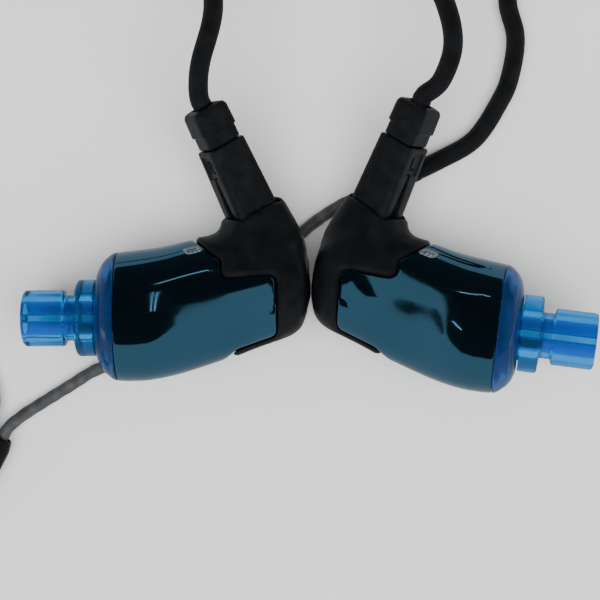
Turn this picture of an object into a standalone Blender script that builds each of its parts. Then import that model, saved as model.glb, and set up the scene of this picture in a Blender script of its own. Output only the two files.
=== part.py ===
"""A pair of universal-fit in-ear monitors with a detachable two-pin cable, lying back to back.

Each monitor is modelled once, as the left one, in its own frame: +X from the rear to the nozzle,
+Y up to the cable socket, +Z to the outer face, origin on the nozzle axis at the rear.
The right one is its mirror image. Lengths in the tables are millimetres, and MM makes them metres.
"""

import math

import bmesh
import bpy
from mathutils import Matrix, Vector

MM = 0.001
GAP = 0.3
FINE_GAP = 0.15
# Cutting blocks: one larger than any piece, and the side of one larger than the nozzle.
BIG_BLOCK = (30.0, 30.0, 30.0)
HALF_BLOCK = 9.0

# Layout of the pair on the surface: the middle of its box, taken off every place below.
PAIR_MIDDLE = (-0.1, 2.7)

# (x, y, z) of each monitor's origin, how many degrees its nozzle turns down in plan and rises, and
# how far its plug leans more than the socket does, within the socket's play.
PLACES = {
    "left": {"at": (-0.15, 1.05, 4.6), "turn": 7.1, "rise": 9.0, "seat": -3.0},
    "right": {"at": (-0.25, 0.0, 6.53), "turn": 0.5, "rise": -0.35, "seat": 3.0},
}

# Casing: (x, lowest y, highest y, half thickness) at each station.
STATIONS = (
    (0.1, 1.9, 3.9, 1.2),
    (0.35, 0.5, 5.9, 2.9),
    (0.9, -0.9, 7.1, 3.9),
    (2.0, -1.95, 8.0, 4.55),
    (3.8, -2.65, 8.5, 4.8),
    (6.4, -3.5, 8.75, 4.85),
    (9.4, -4.75, 8.85, 4.9),
    (12.6, -5.75, 8.44, 5.15),
    (15.5, -6.5, 7.65, 5.65),
    (18.4, -6.95, 7.35, 6.15),
    (20.9, -6.8, 7.05, 6.35),
    (21.75, -6.25, 6.55, 5.95),
    (22.5, -5.4, 5.6, 5.2),
    (22.95, -4.25, 4.25, 4.25),
)
SECTION_POWER = 2.3
SECTION_POINTS = 28
WALL = 0.9
BOOT_PROUD = 0.15
SEAM_X = 20.95

# The shell's edge against the boot: (x, y, corner radius), closed well outside the casing.
SHELL_EDGE = (
    (SEAM_X, 12.0, 0.0),
    (17.3, 12.0, 0.0),
    (9.4, 5.94, 0.5),
    (9.4, 4.0, 0.9),
    (3.5, 4.4, 0.8),
    (3.5, -2.0, 0.9),
    (7.8, -3.5, 1.6),
    (12.0, -7.1, 0.0),
    (12.0, -9.0, 0.0),
    (SEAM_X, -9.0, 0.0),
)

# Nozzle: (x, radius) down its outer side, and its two half-round bores with a web between.
NOZZLE_PROFILE = (
    (21.65, 3.0),
    (22.95 + FINE_GAP, 3.0),
    (22.95 + FINE_GAP, 4.15),
    (24.85, 4.15),
    (25.15, 3.85),
    (25.25, 2.47),
    (26.3, 2.47),
    (26.5, 2.9),
    (26.65, 3.0),
    (30.55, 3.0),
    (30.95, 2.7),
)
BORE_RADIUS = 1.85
BORE_SPAN = (20.0, 33.0)
BORE_MIDDLE = 1.02
WEB_HALF = 0.25
DAMPER_RADIUS = 0.55
DAMPER_SPAN = (22.9, 25.0)

# Inside: (name, size, middle, bevel, finish) of each block, and each sound tube's route.
INSIDE_BLOCKS = (
    ("low_driver", (8.0, 3.8, 4.6), (13.5, -0.7, 0.0), 0.4, "driver_metal"),
    ("mid_driver", (6.2, 2.6, 3.8), (14.3, 2.9, 0.0), 0.35, "driver_metal"),
    ("high_driver", (4.6, 1.6, 2.6), (13.0, 5.5, 0.0), 0.3, "driver_metal"),
    ("crossover_board", (0.8, 4.8, 4.6), (6.2, 1.1, 0.0), 0.15, "board_green"),
)
SOUND_TUBES = {
    "low_sound_tube": ((17.8, -0.8, 0.0), (19.6, -0.9, 0.0), (21.35, -1.05, 0.0)),
    "high_sound_tube": ((15.6, 5.5, 0.0), (17.6, 5.3, 0.0), (19.7, 3.2, 0.0), (21.35, 1.05, 0.0)),
}
SOUND_TUBE_RADIUS = 0.6
SOUND_TUBE_WALL = 0.25
SOUND_TUBE_SPACING = 1.1

# Plug and socket: their axis runs out of the tower, leaning to the nozzle and to the outer face.
RIM_AT = (6.2, 11.8, 0.5)
SEAT_PIVOT = -3.3
PLUG_LEAN = 21.2
PLUG_TILT = 17.0
PLUG_ROLL = 25.0
# (height along the plug's axis, half width, half depth)
TOWER = ((-7.5, 3.2, 2.7), (-5.0, 3.75, 3.35), (-3.0, 3.75, 3.4), (-1.2, 3.5, 3.15), (0.0, 3.3, 2.95))
TOWER_POWER = 2.8
PLUG_SHELL = ((-1.6, 2.47, 2.1), (0.6, 2.47, 2.1), (7.7, 2.25, 1.93))
PLUG_HEAD = (
    (7.85, 1.98, 1.68),
    (9.2, 1.96, 1.66),
    (9.35, 2.14, 1.83),
    (11.5, 2.08, 1.78),
    (11.9, 1.88, 1.6),
    (12.1, 1.35, 1.25),
)
PLUG_TOP = 12.1
SLEEVE_START = (0.45, 1.1)
SOCKET = ((-6.3, 2.4, 2.03), (-1.9, 2.45, 2.08))
TOWER_HOLE = (2.76, 2.39)
TOWER_HOLE_SPAN = (-9.0, 1.0)
PLUG_POWER = 7.0
PIN_OFFSET = 1.0
PIN_RADIUS = 0.39
PIN_HOLE_RADIUS = 0.62
PIN_SPAN = (-5.6, -1.1)

# Cable.
SLEEVE_RADIUS = 1.05
BRANCH_RADIUS = 0.7
LYING = 0.05
SLEEVE_SPACING = 5.6
BRANCH_SPACING = 3.7
SLEEVE_Z = SLEEVE_RADIUS + LYING
BRANCH_Z = BRANCH_RADIUS + LYING
# Each route is (x, y, z) in the layout. A sleeve starts at its plug's top, so that is not in it.
LEFT_SLEEVE = (
    (13.6, 24.9, 10.9),
    (14.75, 28.6, 11.8),
    (13.9, 33.3, 11.0),
    (11.3, 39.5, 8.2),
    (12.2, 45.0, 4.6),
    (17.5, 48.2, 2.2),
    (22.5, 45.6, 1.2),
    (23.0, 40.5, SLEEVE_Z),
    (22.0, 35.5, SLEEVE_Z),
    (22.9, 31.2, SLEEVE_Z),
    (22.3, 26.9, SLEEVE_Z),
    (21.1, 24.0, SLEEVE_Z),
    (18.3, 19.8, SLEEVE_Z),
    (14.3, 17.4, SLEEVE_Z),
    (9.6, 15.2, SLEEVE_Z),
)
RIGHT_SLEEVE = (
    (-12.0, 24.5, 11.4),
    (-11.7, 26.8, 11.8),
    (-10.4, 33.0, 11.4),
    (-12.4, 41.0, 7.6),
    (-19.5, 47.0, 3.8),
    (-29.5, 48.2, 1.6),
    (-38.0, 44.5, SLEEVE_Z),
    (-42.6, 38.5, SLEEVE_Z),
)
SLIDER_ENTRY = (-34.4, -13.2)
SLIDER_ALONG = (-0.45, -0.893)
SLIDER_LENGTH = 9.0
SLIDER_TRAVEL = 5.0
SLIDER_HALF = (2.5, 1.5)
# How long each end's taper is, and how much it takes off the half width and half height.
SLIDER_TAPER = (1.0, 0.5, 0.25)
SLIDER_POWER = 3.0
SLIDER_BORE = 0.95
STRAND_OFFSET = 1.1
# Along the slider's straight stretch, from its entry to past the end of its travel.
STRAIGHT_AT = (0.0, 5.0, 10.0, SLIDER_LENGTH + SLIDER_TRAVEL + 0.8)
LEFT_BRANCH = (
    (9.33, 15.07, BRANCH_Z),
    (6.0, 13.6, BRANCH_Z),
    (2.6, 12.0, BRANCH_Z),
    (-1.3, 9.05, BRANCH_Z),
    (-4.3, 5.0, BRANCH_Z),
    (-6.4, 0.6, BRANCH_Z),
    (-10.0, -3.1, BRANCH_Z),
    (-15.0, -4.9, BRANCH_Z),
    (-20.0, -5.3, BRANCH_Z),
    (-23.9, -6.0, BRANCH_Z),
    (-27.3, -8.0, BRANCH_Z),
    (-30.7, -10.1, 0.8),
    (-32.9, -11.6, 1.2),
)
RIGHT_BRANCH = (
    (-42.75, 38.24, BRANCH_Z),
    (-44.6, 31.0, BRANCH_Z),
    (-43.6, 22.0, BRANCH_Z),
    (-40.2, 12.0, BRANCH_Z),
    (-38.4, 3.0, BRANCH_Z),
    (-36.6, -5.0, BRANCH_Z),
    (-35.6, -9.6, 1.2),
)
COIL_MIDDLE = (-60.0, -2.0)
STRAP = 0.5
TIE_WIDTH = 3.0
TIE_TURN = -60.0
RING_CORNER = 0.22
# (inner radius, outer radius, lowest z, highest z)
BRANCH_RING = (16.5, 19.5, 0.0, 2.9)
MAIN_RING = (7.0, 15.0, STRAP + GAP, 6.9)
# (degrees round the coil, radius) of the inner branch's way into it; the outer one lies beside it.
COIL_ENTRY = ((-60.0, 27.6), (-70.0, 23.6), (-80.0, 20.7))
STRANDS_APART = 2.1
SPLITTER_SIZE = (12.0, 5.2, 3.6)
SPLITTER_BEVEL = 0.9
JACK_RADIUS = 3.0
JACK_AXIS_Z = MAIN_RING[3] + GAP + JACK_RADIUS
JACK_TURN = 25.0
JACK_OFFSET = (4.0, 3.0)
# (name, finish, (height, radius) profile along the jack's axis) of each piece of the jack.
JACK_PIECES = (
    ("jack_strain_relief", "cable_black", ((-27.3, 1.35), (-26.9, 1.6), (-17.3, 2.3))),
    ("jack_body", "black_plastic", ((-17.0, 2.6), (-16.6, 3.0), (-1.0, 3.0), (-0.6, 2.7))),
    ("jack_sleeve", "gold", ((-0.3, 2.4), (0.5, 2.4), (0.5, 1.75), (8.0, 1.75))),
    ("jack_insulator_a", "insulator", ((8.1, 1.7), (8.8, 1.7))),
    ("jack_ring", "gold", ((8.9, 1.75), (10.4, 1.75))),
    ("jack_insulator_b", "insulator", ((10.5, 1.7), (11.2, 1.7))),
    ("jack_tip", "gold", ((11.3, 1.75), (11.9, 1.75), (12.5, 1.3), (13.1, 1.7), (14.2, 0.5))),
)

COLOURS = {
    "shell": ((0.02, 0.085, 0.13), 0.12, 0.8),
    "black_plastic": ((0.012, 0.012, 0.013), 0.45, 0.0),
    "cap_blue": ((0.02, 0.07, 0.35), 0.3, 0.0),
    "nozzle_blue": ((0.01, 0.2, 0.6), 0.15, 0.0),
    "driver_metal": ((0.55, 0.56, 0.58), 0.3, 1.0),
    "board_green": ((0.02, 0.16, 0.07), 0.5, 0.0),
    "tube_clear": ((0.6, 0.65, 0.7), 0.3, 0.0),
    "damper_green": ((0.02, 0.12, 0.08), 0.6, 0.0),
    "gold": ((0.8, 0.58, 0.25), 0.25, 1.0),
    "cable_black": ((0.015, 0.015, 0.016), 0.5, 0.0),
    "insulator": ((0.02, 0.02, 0.02), 0.4, 0.0),
}


def clear_scene():
    for old in list(bpy.data.objects):
        bpy.data.objects.remove(old, do_unlink=True)


def new_collection(name, hidden=False):
    collection = bpy.data.collections.new(name)
    bpy.context.scene.collection.children.link(collection)
    collection.hide_render = hidden
    return collection


def material(slot):
    name = slot.replace("_", " ")
    if name in bpy.data.materials:
        return bpy.data.materials[name]
    colour, roughness, metallic = COLOURS[slot]
    made = bpy.data.materials.new(name)
    made.use_nodes = True
    shader = made.node_tree.nodes["Principled BSDF"]
    shader.inputs["Base Color"].default_value = (*colour, 1.0)
    shader.inputs["Roughness"].default_value = roughness
    shader.inputs["Metallic"].default_value = metallic
    return made


def mesh_object(name, bm, collection):
    """A mesh object from a bmesh, with its faces turned outwards."""
    bmesh.ops.recalc_face_normals(bm, faces=bm.faces)
    mesh = bpy.data.meshes.new(name)
    bm.to_mesh(mesh)
    bm.free()
    made = bpy.data.objects.new(name, mesh)
    collection.objects.link(made)
    return made


def finish_part(made, name, slot, parent=None, place=Matrix.Identity(4)):
    """Names a part, gives it its own material and puts it under its parent."""
    made.name = name
    made.data.name = name
    made.data.materials.clear()
    made.data.materials.append(material(slot).copy())
    made.data.shade_smooth()
    made.data.set_sharp_from_angle(angle=math.radians(35))
    made.parent = parent
    made.matrix_basis = place
    return made


def loft(name, rings, collection):
    """A closed solid through rings of points, flat at both ends."""
    bm = bmesh.new()
    rows = [[bm.verts.new(Vector(point) * MM) for point in ring] for ring in rings]
    for row, following in zip(rows, rows[1:]):
        for k in range(len(row)):
            after = (k + 1) % len(row)
            bm.faces.new((row[k], row[after], following[after], following[k]))
    bm.faces.new(rows[0])
    bm.faces.new(rows[-1])
    return mesh_object(name, bm, collection)


def superellipse(half_a, half_b, power, count):
    """Points (a, b) round a superellipse."""
    points = []
    for k in range(count):
        turn = 2 * math.pi * (k + 0.5) / count
        cosine, sine = math.cos(turn), math.sin(turn)
        across = half_a * math.copysign(abs(cosine) ** (2 / power), cosine)
        along = half_b * math.copysign(abs(sine) ** (2 / power), sine)
        points.append((across, along))
    return points


def casing_form(name, grow, first_x, last_x):
    """The casing's outer form, grown by a distance, with its stations spread from first_x to last_x."""
    start, end = STATIONS[0][0], STATIONS[-1][0]
    rings = []
    for x, low, high, half_z in STATIONS:
        moved = first_x + (x - start) * (last_x - first_x) / (end - start)
        half_y = (high - low) / 2 + grow
        middle = (high + low) / 2
        section = superellipse(half_y, max(half_z + grow, 0.4), SECTION_POWER, SECTION_POINTS)
        rings.append([(moved, middle + y, z) for y, z in section])
    return loft(name, rings, CUTTERS)


def axis_loft(name, stations, power, count, collection):
    """A solid along +Z from (height, half width, half depth) stations."""
    rings = []
    for height, half_width, half_depth in stations:
        section = superellipse(half_width, half_depth, power, count)
        rings.append([(x, y, height) for x, y in section])
    return loft(name, rings, collection)


def turned(name, profile, collection, steps=20):
    """A solid turned about +Z from (height, radius) points, with flat ends."""
    mesh = bpy.data.meshes.new(name)
    points = [(0.0, profile[0][0]), *((radius, height) for height, radius in profile), (0.0, profile[-1][0])]
    points.reverse()
    mesh.from_pydata(
        [(x * MM, 0.0, z * MM) for x, z in points], [(k, k + 1) for k in range(len(points) - 1)], []
    )
    made = bpy.data.objects.new(name, mesh)
    collection.objects.link(made)
    screw = made.modifiers.new("turn", "SCREW")
    screw.steps = steps
    screw.render_steps = steps
    screw.use_merge_vertices = True
    screw.merge_threshold = 1e-6
    return baked(made, collection)


def cylinder(name, radius, low, high, collection, sides=12, at=(0.0, 0.0)):
    """A cylinder along +Z."""
    bm = bmesh.new()
    place = Matrix.Translation(Vector((at[0], at[1], (low + high) / 2)) * MM)
    bmesh.ops.create_cone(
        bm,
        cap_ends=True,
        segments=sides,
        radius1=radius * MM,
        radius2=radius * MM,
        depth=(high - low) * MM,
        matrix=place,
    )
    return mesh_object(name, bm, collection)


def block(name, size, collection, at=(0.0, 0.0, 0.0), bevel=0.0):
    """A box with rounded edges."""
    bm = bmesh.new()
    scale = Matrix.Diagonal((*(Vector(size) * MM), 1.0))
    bmesh.ops.create_cube(bm, size=1.0, matrix=Matrix.Translation(Vector(at) * MM) @ scale)
    if bevel:
        bmesh.ops.bevel(
            bm, geom=bm.edges[:], offset=bevel * MM, segments=2, profile=0.5, affect="EDGES"
        )
    return mesh_object(name, bm, collection)


def baked(made, collection):
    """Replaces an object by a plain mesh of what its modifiers give."""
    bpy.context.view_layer.update()
    graph = bpy.context.evaluated_depsgraph_get()
    mesh = bpy.data.meshes.new_from_object(made.evaluated_get(graph))
    bm = bmesh.new()
    bm.from_mesh(mesh)
    bmesh.ops.remove_doubles(bm, verts=bm.verts, dist=1e-6)
    bmesh.ops.dissolve_degenerate(bm, edges=bm.edges, dist=1e-6)
    bm.to_mesh(mesh)
    bm.free()
    plain = bpy.data.objects.new(made.name, mesh)
    collection.objects.link(plain)
    plain.matrix_world = made.matrix_world
    bpy.data.objects.remove(made, do_unlink=True)
    return plain


def boolean(made, other, operation):
    """Cuts, joins or keeps what is inside another object, at once."""
    modifier = made.modifiers.new(operation.lower(), "BOOLEAN")
    modifier.operation = operation
    modifier.object = other
    modifier.solver = "EXACT"
    return baked(made, made.users_collection[0])


def rounded_outline(corners, steps=4):
    """Outline points with each corner (x, y, radius) turned into an arc."""
    points = []
    for k, (x, y, radius) in enumerate(corners):
        corner = Vector((x, y))
        if radius == 0.0:
            points.append(corner)
            continue
        before = (Vector(corners[k - 1][:2]) - corner).normalized()
        after = (Vector(corners[(k + 1) % len(corners)][:2]) - corner).normalized()
        half = before.angle(after) / 2
        middle = corner + (before + after).normalized() * radius / math.sin(half)
        reach = radius / math.tan(half)
        first, last = corner + before * reach - middle, corner + after * reach - middle
        for step in range(steps + 1):
            mixed = first.slerp(last, step / steps)
            points.append(middle + mixed.normalized() * radius)
    return points


def grown_outline(points, amount):
    """The outline with every side moved outwards by a distance."""
    moved = []
    count = len(points)
    area = sum(points[k - 1].cross(points[k]) for k in range(count))
    turn = -1.0 if area > 0 else 1.0
    for k, point in enumerate(points):
        before = (point - points[k - 1]).normalized()
        after = (points[(k + 1) % count] - point).normalized()
        normals = [Vector((-side.y, side.x)) * turn for side in (before, after)]
        mean = (normals[0] + normals[1]).normalized()
        moved.append(point + mean * amount / mean.dot(normals[0]))
    return moved


def plate(name, points, low, high, collection):
    """A flat outline made solid between two heights."""
    rings = [[(p.x, p.y, height) for p in points] for height in (low, high)]
    return loft(name, rings, collection)


def smooth_route(points, spacing):
    """Evenly spaced points on one smooth curve through a cord's route."""
    route = [Vector(p) for p in points]
    ends = [route[0] * 2 - route[1], *route, route[-1] * 2 - route[-2]]
    fine = []
    for a, b, c, d in zip(ends, ends[1:], ends[2:], ends[3:]):
        for step in range(12):
            t = step / 12
            fine.append(
                0.5
                * (
                    2 * b
                    + (c - a) * t
                    + (2 * a - 5 * b + 4 * c - d) * t**2
                    + (3 * b - a - 3 * c + d) * t**3
                )
            )
    fine.append(route[-1])
    travelled = [0.0]
    for first, second in zip(fine, fine[1:]):
        travelled.append(travelled[-1] + (second - first).length)
    count = max(2, round(travelled[-1] / spacing) + 1)
    even, k = [], 0
    for n in range(count):
        wanted = travelled[-1] * n / (count - 1)
        while k < len(fine) - 2 and travelled[k + 1] < wanted:
            k += 1
        share = (wanted - travelled[k]) / (travelled[k + 1] - travelled[k])
        even.append(fine[k].lerp(fine[k + 1], share))
    return even


def cord_tube(name, points, radius, spacing, slot, parent=None):
    """A cord's plain solid along its route."""
    even = smooth_route(points, spacing)
    curve = bpy.data.curves.new(name, "CURVE")
    curve.dimensions = "3D"
    curve.bevel_depth = radius * MM
    curve.bevel_resolution = 2
    curve.use_fill_caps = True
    spline = curve.splines.new("POLY")
    spline.points.add(len(even) - 1)
    for target, point in zip(spline.points, even):
        target.co = (*(point * MM), 1.0)
    made = bpy.data.objects.new(name, curve)
    PARTS.objects.link(made)
    made = baked(made, PARTS)
    if parent is None:
        return finish_part(made, name, slot)
    home = parent.matrix_world.inverted()
    made.data.transform(home)
    return finish_part(made, name, slot, parent)


def on_layout(x, y, z):
    return Vector((x - PAIR_MIDDLE[0], y - PAIR_MIDDLE[1], z))


def plug_frame():
    """Turns +Z to the plug's axis and +X to its nozzle side, in the monitor's frame."""
    lean, tilt, roll = (math.radians(a) for a in (PLUG_LEAN, PLUG_TILT, PLUG_ROLL))
    out = Vector(
        (math.sin(lean) * math.cos(tilt), math.cos(lean) * math.cos(tilt), math.sin(tilt))
    )
    side = Vector((math.cos(lean), -math.sin(lean), 0.0))
    raised = side.cross(out)
    width = side * math.cos(roll) + raised * math.sin(roll)
    depth = out.cross(width)
    turned_frame = Matrix((width, depth, out)).transposed().to_4x4()
    return Matrix.Translation(Vector(RIM_AT) * MM) @ turned_frame


def moved_mesh(made, matrix):
    made.data.transform(matrix)
    return made


def along_x():
    """Turns +Z, the axis of a turned piece, to the nozzle axis."""
    return Matrix.Rotation(math.radians(90), 4, "Y")


def make_casing():
    """The hollow shell, the rear boot with its socket tower, and the front cap."""
    start, end = STATIONS[0][0], STATIONS[-1][0]
    inner = casing_form("inner form", -WALL, start + WALL, end - WALL)
    edge = rounded_outline(SHELL_EDGE)
    shell = casing_form("shell", 0.0, start, end)
    shell = boolean(shell, inner, "DIFFERENCE")
    shell = boolean(shell, plate("shell edge", edge, -9.0, 9.0, CUTTERS), "INTERSECT")

    cap = casing_form("cap", 0.0, start, end)
    cap = boolean(cap, inner, "DIFFERENCE")
    middle = SEAM_X + FINE_GAP - BIG_BLOCK[0] / 2
    behind = block("behind the seam", BIG_BLOCK, CUTTERS, at=(middle, 0, 0))
    cap = boolean(cap, behind, "DIFFERENCE")
    spigot = NOZZLE_PROFILE[0][1]
    hole = moved_mesh(cylinder("nozzle hole", spigot + FINE_GAP, 20.0, 25.0, CUTTERS, 20), along_x())
    cap = boolean(cap, hole, "DIFFERENCE")

    boot = casing_form("boot", BOOT_PROUD, start - BOOT_PROUD + 0.05, end)
    tower = axis_loft("tower", TOWER, TOWER_POWER, 24, CUTTERS)
    boot = boolean(boot, moved_mesh(tower, plug_frame()), "UNION")
    boot = boolean(boot, inner, "DIFFERENCE")
    front = plate("boot edge", grown_outline(edge, FINE_GAP), -9.0, 9.0, CUTTERS)
    boot = boolean(boot, front, "DIFFERENCE")
    ahead = block("ahead of the boot", BIG_BLOCK, CUTTERS, at=(SEAM_X + BIG_BLOCK[0] / 2 - 0.1, 0, 0))
    boot = boolean(boot, ahead, "DIFFERENCE")
    passage = ((TOWER_HOLE_SPAN[0], *TOWER_HOLE), (TOWER_HOLE_SPAN[1], *TOWER_HOLE))
    bore = axis_loft("tower bore", passage, PLUG_POWER, 20, CUTTERS)
    boot = boolean(boot, moved_mesh(bore, plug_frame()), "DIFFERENCE")
    return {"shell": (shell, "shell"), "rear_boot": (boot, "black_plastic"), "front_cap": (cap, "cap_blue")}


def make_nozzle():
    """The nozzle with its collar and two half-round bores, and the damper in the lower one."""
    nozzle = turned("nozzle", NOZZLE_PROFILE, CUTTERS, 20)
    for side in (1.0, -1.0):
        bore = cylinder("bore", BORE_RADIUS, *BORE_SPAN, CUTTERS, 16)
        middle = (0.0, side * (HALF_BLOCK / 2 + WEB_HALF), sum(BORE_SPAN) / 2)
        keep = block("bore half", (HALF_BLOCK, HALF_BLOCK, 4 * HALF_BLOCK), CUTTERS, at=middle)
        nozzle = boolean(nozzle, boolean(bore, keep, "INTERSECT"), "DIFFERENCE")
    damper = cylinder("damper", DAMPER_RADIUS, *DAMPER_SPAN, CUTTERS, 10, at=(0.0, -BORE_MIDDLE))
    return {
        "nozzle": (moved_mesh(nozzle, along_x()), "nozzle_blue"),
        "damper": (moved_mesh(damper, along_x()), "damper_green"),
    }


def sound_tube(name, points):
    """A hollow tube from a driver's spout to a nozzle bore."""
    even = smooth_route(points, SOUND_TUBE_SPACING)
    curve = bpy.data.curves.new(name, "CURVE")
    curve.dimensions = "3D"
    curve.bevel_depth = SOUND_TUBE_RADIUS * MM
    curve.bevel_resolution = 1
    spline = curve.splines.new("POLY")
    spline.points.add(len(even) - 1)
    for target, point in zip(spline.points, even):
        target.co = (*(point * MM), 1.0)
    made = bpy.data.objects.new(name, curve)
    CUTTERS.objects.link(made)
    made = baked(made, CUTTERS)
    wall = made.modifiers.new("wall", "SOLIDIFY")
    wall.thickness = SOUND_TUBE_WALL * MM
    wall.offset = -1.0
    return baked(made, CUTTERS)


def make_inside():
    """Drivers, crossover board and sound tubes."""
    pieces = {}
    for name, size, middle, bevel, slot in INSIDE_BLOCKS:
        pieces[name] = (block(name, size, CUTTERS, at=middle, bevel=bevel), slot)
    for name, points in SOUND_TUBES.items():
        pieces[name] = (sound_tube(name, points), "tube_clear")
    return pieces


def pin_holes(made, low, high):
    for side in (-1.0, 1.0):
        hole = cylinder("pin hole", PIN_HOLE_RADIUS, low, high, CUTTERS, 12, at=(side * PIN_OFFSET, 0.0))
        made = boolean(made, hole, "DIFFERENCE")
    return made


def make_socket():
    """The two-pin receptacle pressed into the tower."""
    socket = pin_holes(axis_loft("socket", SOCKET, PLUG_POWER, 20, CUTTERS), -5.9, 0.0)
    return {"socket": (moved_mesh(socket, plug_frame()), "black_plastic")}


def make_plug():
    """The cable's plug, in its own frame with +Z out of the socket."""
    shell = pin_holes(axis_loft("plug", PLUG_SHELL, PLUG_POWER, 20, CUTTERS), -3.0, -0.8)
    pieces = {
        "plug_shell": (shell, "black_plastic"),
        "plug_head": (axis_loft("head", PLUG_HEAD, PLUG_POWER, 20, CUTTERS), "black_plastic"),
    }
    for letter, side in (("a", -1.0), ("b", 1.0)):
        low, high = PIN_SPAN
        profile = ((low, 0.2), (low + 0.3, PIN_RADIUS), (high, PIN_RADIUS))
        pin = turned("pin", profile, CUTTERS, 10)
        pin = moved_mesh(pin, Matrix.Translation((side * PIN_OFFSET * MM, 0.0, 0.0)))
        pieces["plug_pin_" + letter] = (pin, "gold")
    return pieces


def empty(name, parent, matrix):
    made = bpy.data.objects.new(name, None)
    PARTS.objects.link(made)
    made.parent = parent
    made.matrix_basis = matrix
    return made


MIRROR = Matrix.Diagonal((-1.0, 1.0, 1.0, 1.0))


def sided(matrix, side):
    """A place in the left monitor's frame, or its mirror image in the right one's."""
    return matrix if side == "left" else MIRROR @ matrix @ MIRROR


def side_copy(source, side):
    """A copy of a left-hand mesh for one side."""
    mesh = source.data.copy()
    if side == "right":
        mesh.transform(MIRROR)
        mesh.flip_normals()
    made = bpy.data.objects.new(source.name, mesh)
    PARTS.objects.link(made)
    return made


def place_monitor(side, fixed_pieces, plug_pieces):
    """One monitor with its plug, under an empty each. Gives back the plug's empty."""
    spot = PLACES[side]
    turn = Matrix.Rotation(math.radians(-spot["turn"]), 4, "Z")
    rise = Matrix.Rotation(math.radians(-spot["rise"]), 4, "Y")
    at = Matrix.Translation(on_layout(*spot["at"]) * MM)
    unit = empty(side + "_monitor", None, at @ sided(turn @ rise, side))
    for name, (source, slot) in fixed_pieces.items():
        finish_part(side_copy(source, side), side + "_" + name, slot, unit)
    seat = Matrix.Rotation(math.radians(-spot["seat"]), 4, "Z")
    pivot = Matrix.Translation(plug_frame() @ (Vector((0.0, 0.0, SEAT_PIVOT)) * MM))
    frame = pivot @ seat @ pivot.inverted() @ plug_frame()
    plug = empty(side + "_plug", unit, sided(frame, side))
    bpy.context.view_layer.update()
    for name, (source, slot) in plug_pieces.items():
        finish_part(side_copy(source, side), side + "_" + name, slot, plug)
    return plug


def make_sleeve(side, plug, route):
    """The thick ear-hook sleeve, straight out of the plug's top and then along its route."""
    frame = plug.matrix_world
    out = [frame @ (Vector((0.0, 0.0, PLUG_TOP + rise)) * MM) / MM for rise in SLEEVE_START]
    rest = [on_layout(*point) for point in route]
    cord_tube(side + "_ear_hook", [*out, *rest], SLEEVE_RADIUS, SLEEVE_SPACING, "cable_black", plug)


def make_branch(side, route, strand):
    """The thin branch cable: to the slider, straight through it and on to the coil."""
    along = Vector((*SLIDER_ALONG, 0.0)).normalized()
    across = Vector((along.y, -along.x, 0.0))
    start = Vector((*SLIDER_ENTRY, SLIDER_HALF[1])) + across * strand * 2 * STRAND_OFFSET
    straight = [start + along * reach for reach in STRAIGHT_AT]
    turn_out = []
    for degrees, radius in COIL_ENTRY:
        angle, reach = math.radians(degrees), radius + (1.0 - strand) * STRANDS_APART
        x = COIL_MIDDLE[0] + reach * math.cos(angle)
        y = COIL_MIDDLE[1] + reach * math.sin(angle)
        turn_out.append(Vector((x, y, BRANCH_Z)))
    path = [on_layout(*p) for p in [*route, *(tuple(p) for p in [*straight, *turn_out])]]
    cord_tube(side + "_branch_cable", path, BRANCH_RADIUS, BRANCH_SPACING, "cable_black")


def make_slider():
    """The chin slider, with a bore for each branch cable, under an empty on its path."""
    along = Vector((*SLIDER_ALONG, 0.0)).normalized()
    across = Vector((along.y, -along.x, 0.0))
    middle = Vector((*SLIDER_ENTRY, SLIDER_HALF[1])) + across * STRAND_OFFSET
    middle += along * (GAP + SLIDER_LENGTH / 2)
    frame = Matrix((across, along.cross(across), along)).transposed().to_4x4()
    rail = empty("slider_path", None, Matrix.Translation(on_layout(*middle) * MM) @ frame)
    bpy.context.view_layer.update()
    half = SLIDER_LENGTH / 2
    wide, high = SLIDER_HALF
    taper, less_wide, less_high = SLIDER_TAPER
    end = (wide - less_wide, high - less_high)
    outer = ((-half, *end), (-half + taper, wide, high), (half - taper, wide, high), (half, *end))
    slider = axis_loft("slider", outer, SLIDER_POWER, 20, CUTTERS)
    for side in (-1.0, 1.0):
        at = (side * STRAND_OFFSET, 0.0)
        bore = cylinder("bore", SLIDER_BORE, -SLIDER_LENGTH, SLIDER_LENGTH, CUTTERS, 12, at=at)
        slider = boolean(slider, bore, "DIFFERENCE")
    finish_part(side_copy(slider, "left"), "chin_slider", "black_plastic", rail)


def ring(name, inner, outer, low, high, slot):
    """A coil's plain solid: a ring of rectangular section with its edges taken off."""
    corner = min(outer - inner, high - low) * RING_CORNER
    profile = (
        (inner, low + corner),
        (inner, high - corner),
        (inner + corner, high),
        (outer - corner, high),
        (outer, high - corner),
        (outer, low + corner),
        (outer - corner, low),
        (inner + corner, low),
    )
    bm = bmesh.new()
    steps = 28
    rows = []
    for k in range(steps):
        angle = 2 * math.pi * k / steps
        rows.append(
            [
                bm.verts.new(Vector((r * math.cos(angle), r * math.sin(angle), z)) * MM)
                for r, z in profile
            ]
        )
    for k, row in enumerate(rows):
        following = rows[(k + 1) % steps]
        for j in range(len(row)):
            after = (j + 1) % len(row)
            bm.faces.new((row[j], row[after], following[after], following[j]))
    made = mesh_object(name, bm, PARTS)
    place = Matrix.Translation(on_layout(*COIL_MIDDLE, 0.0) * MM)
    return finish_part(made, name, slot, None, place)


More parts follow.
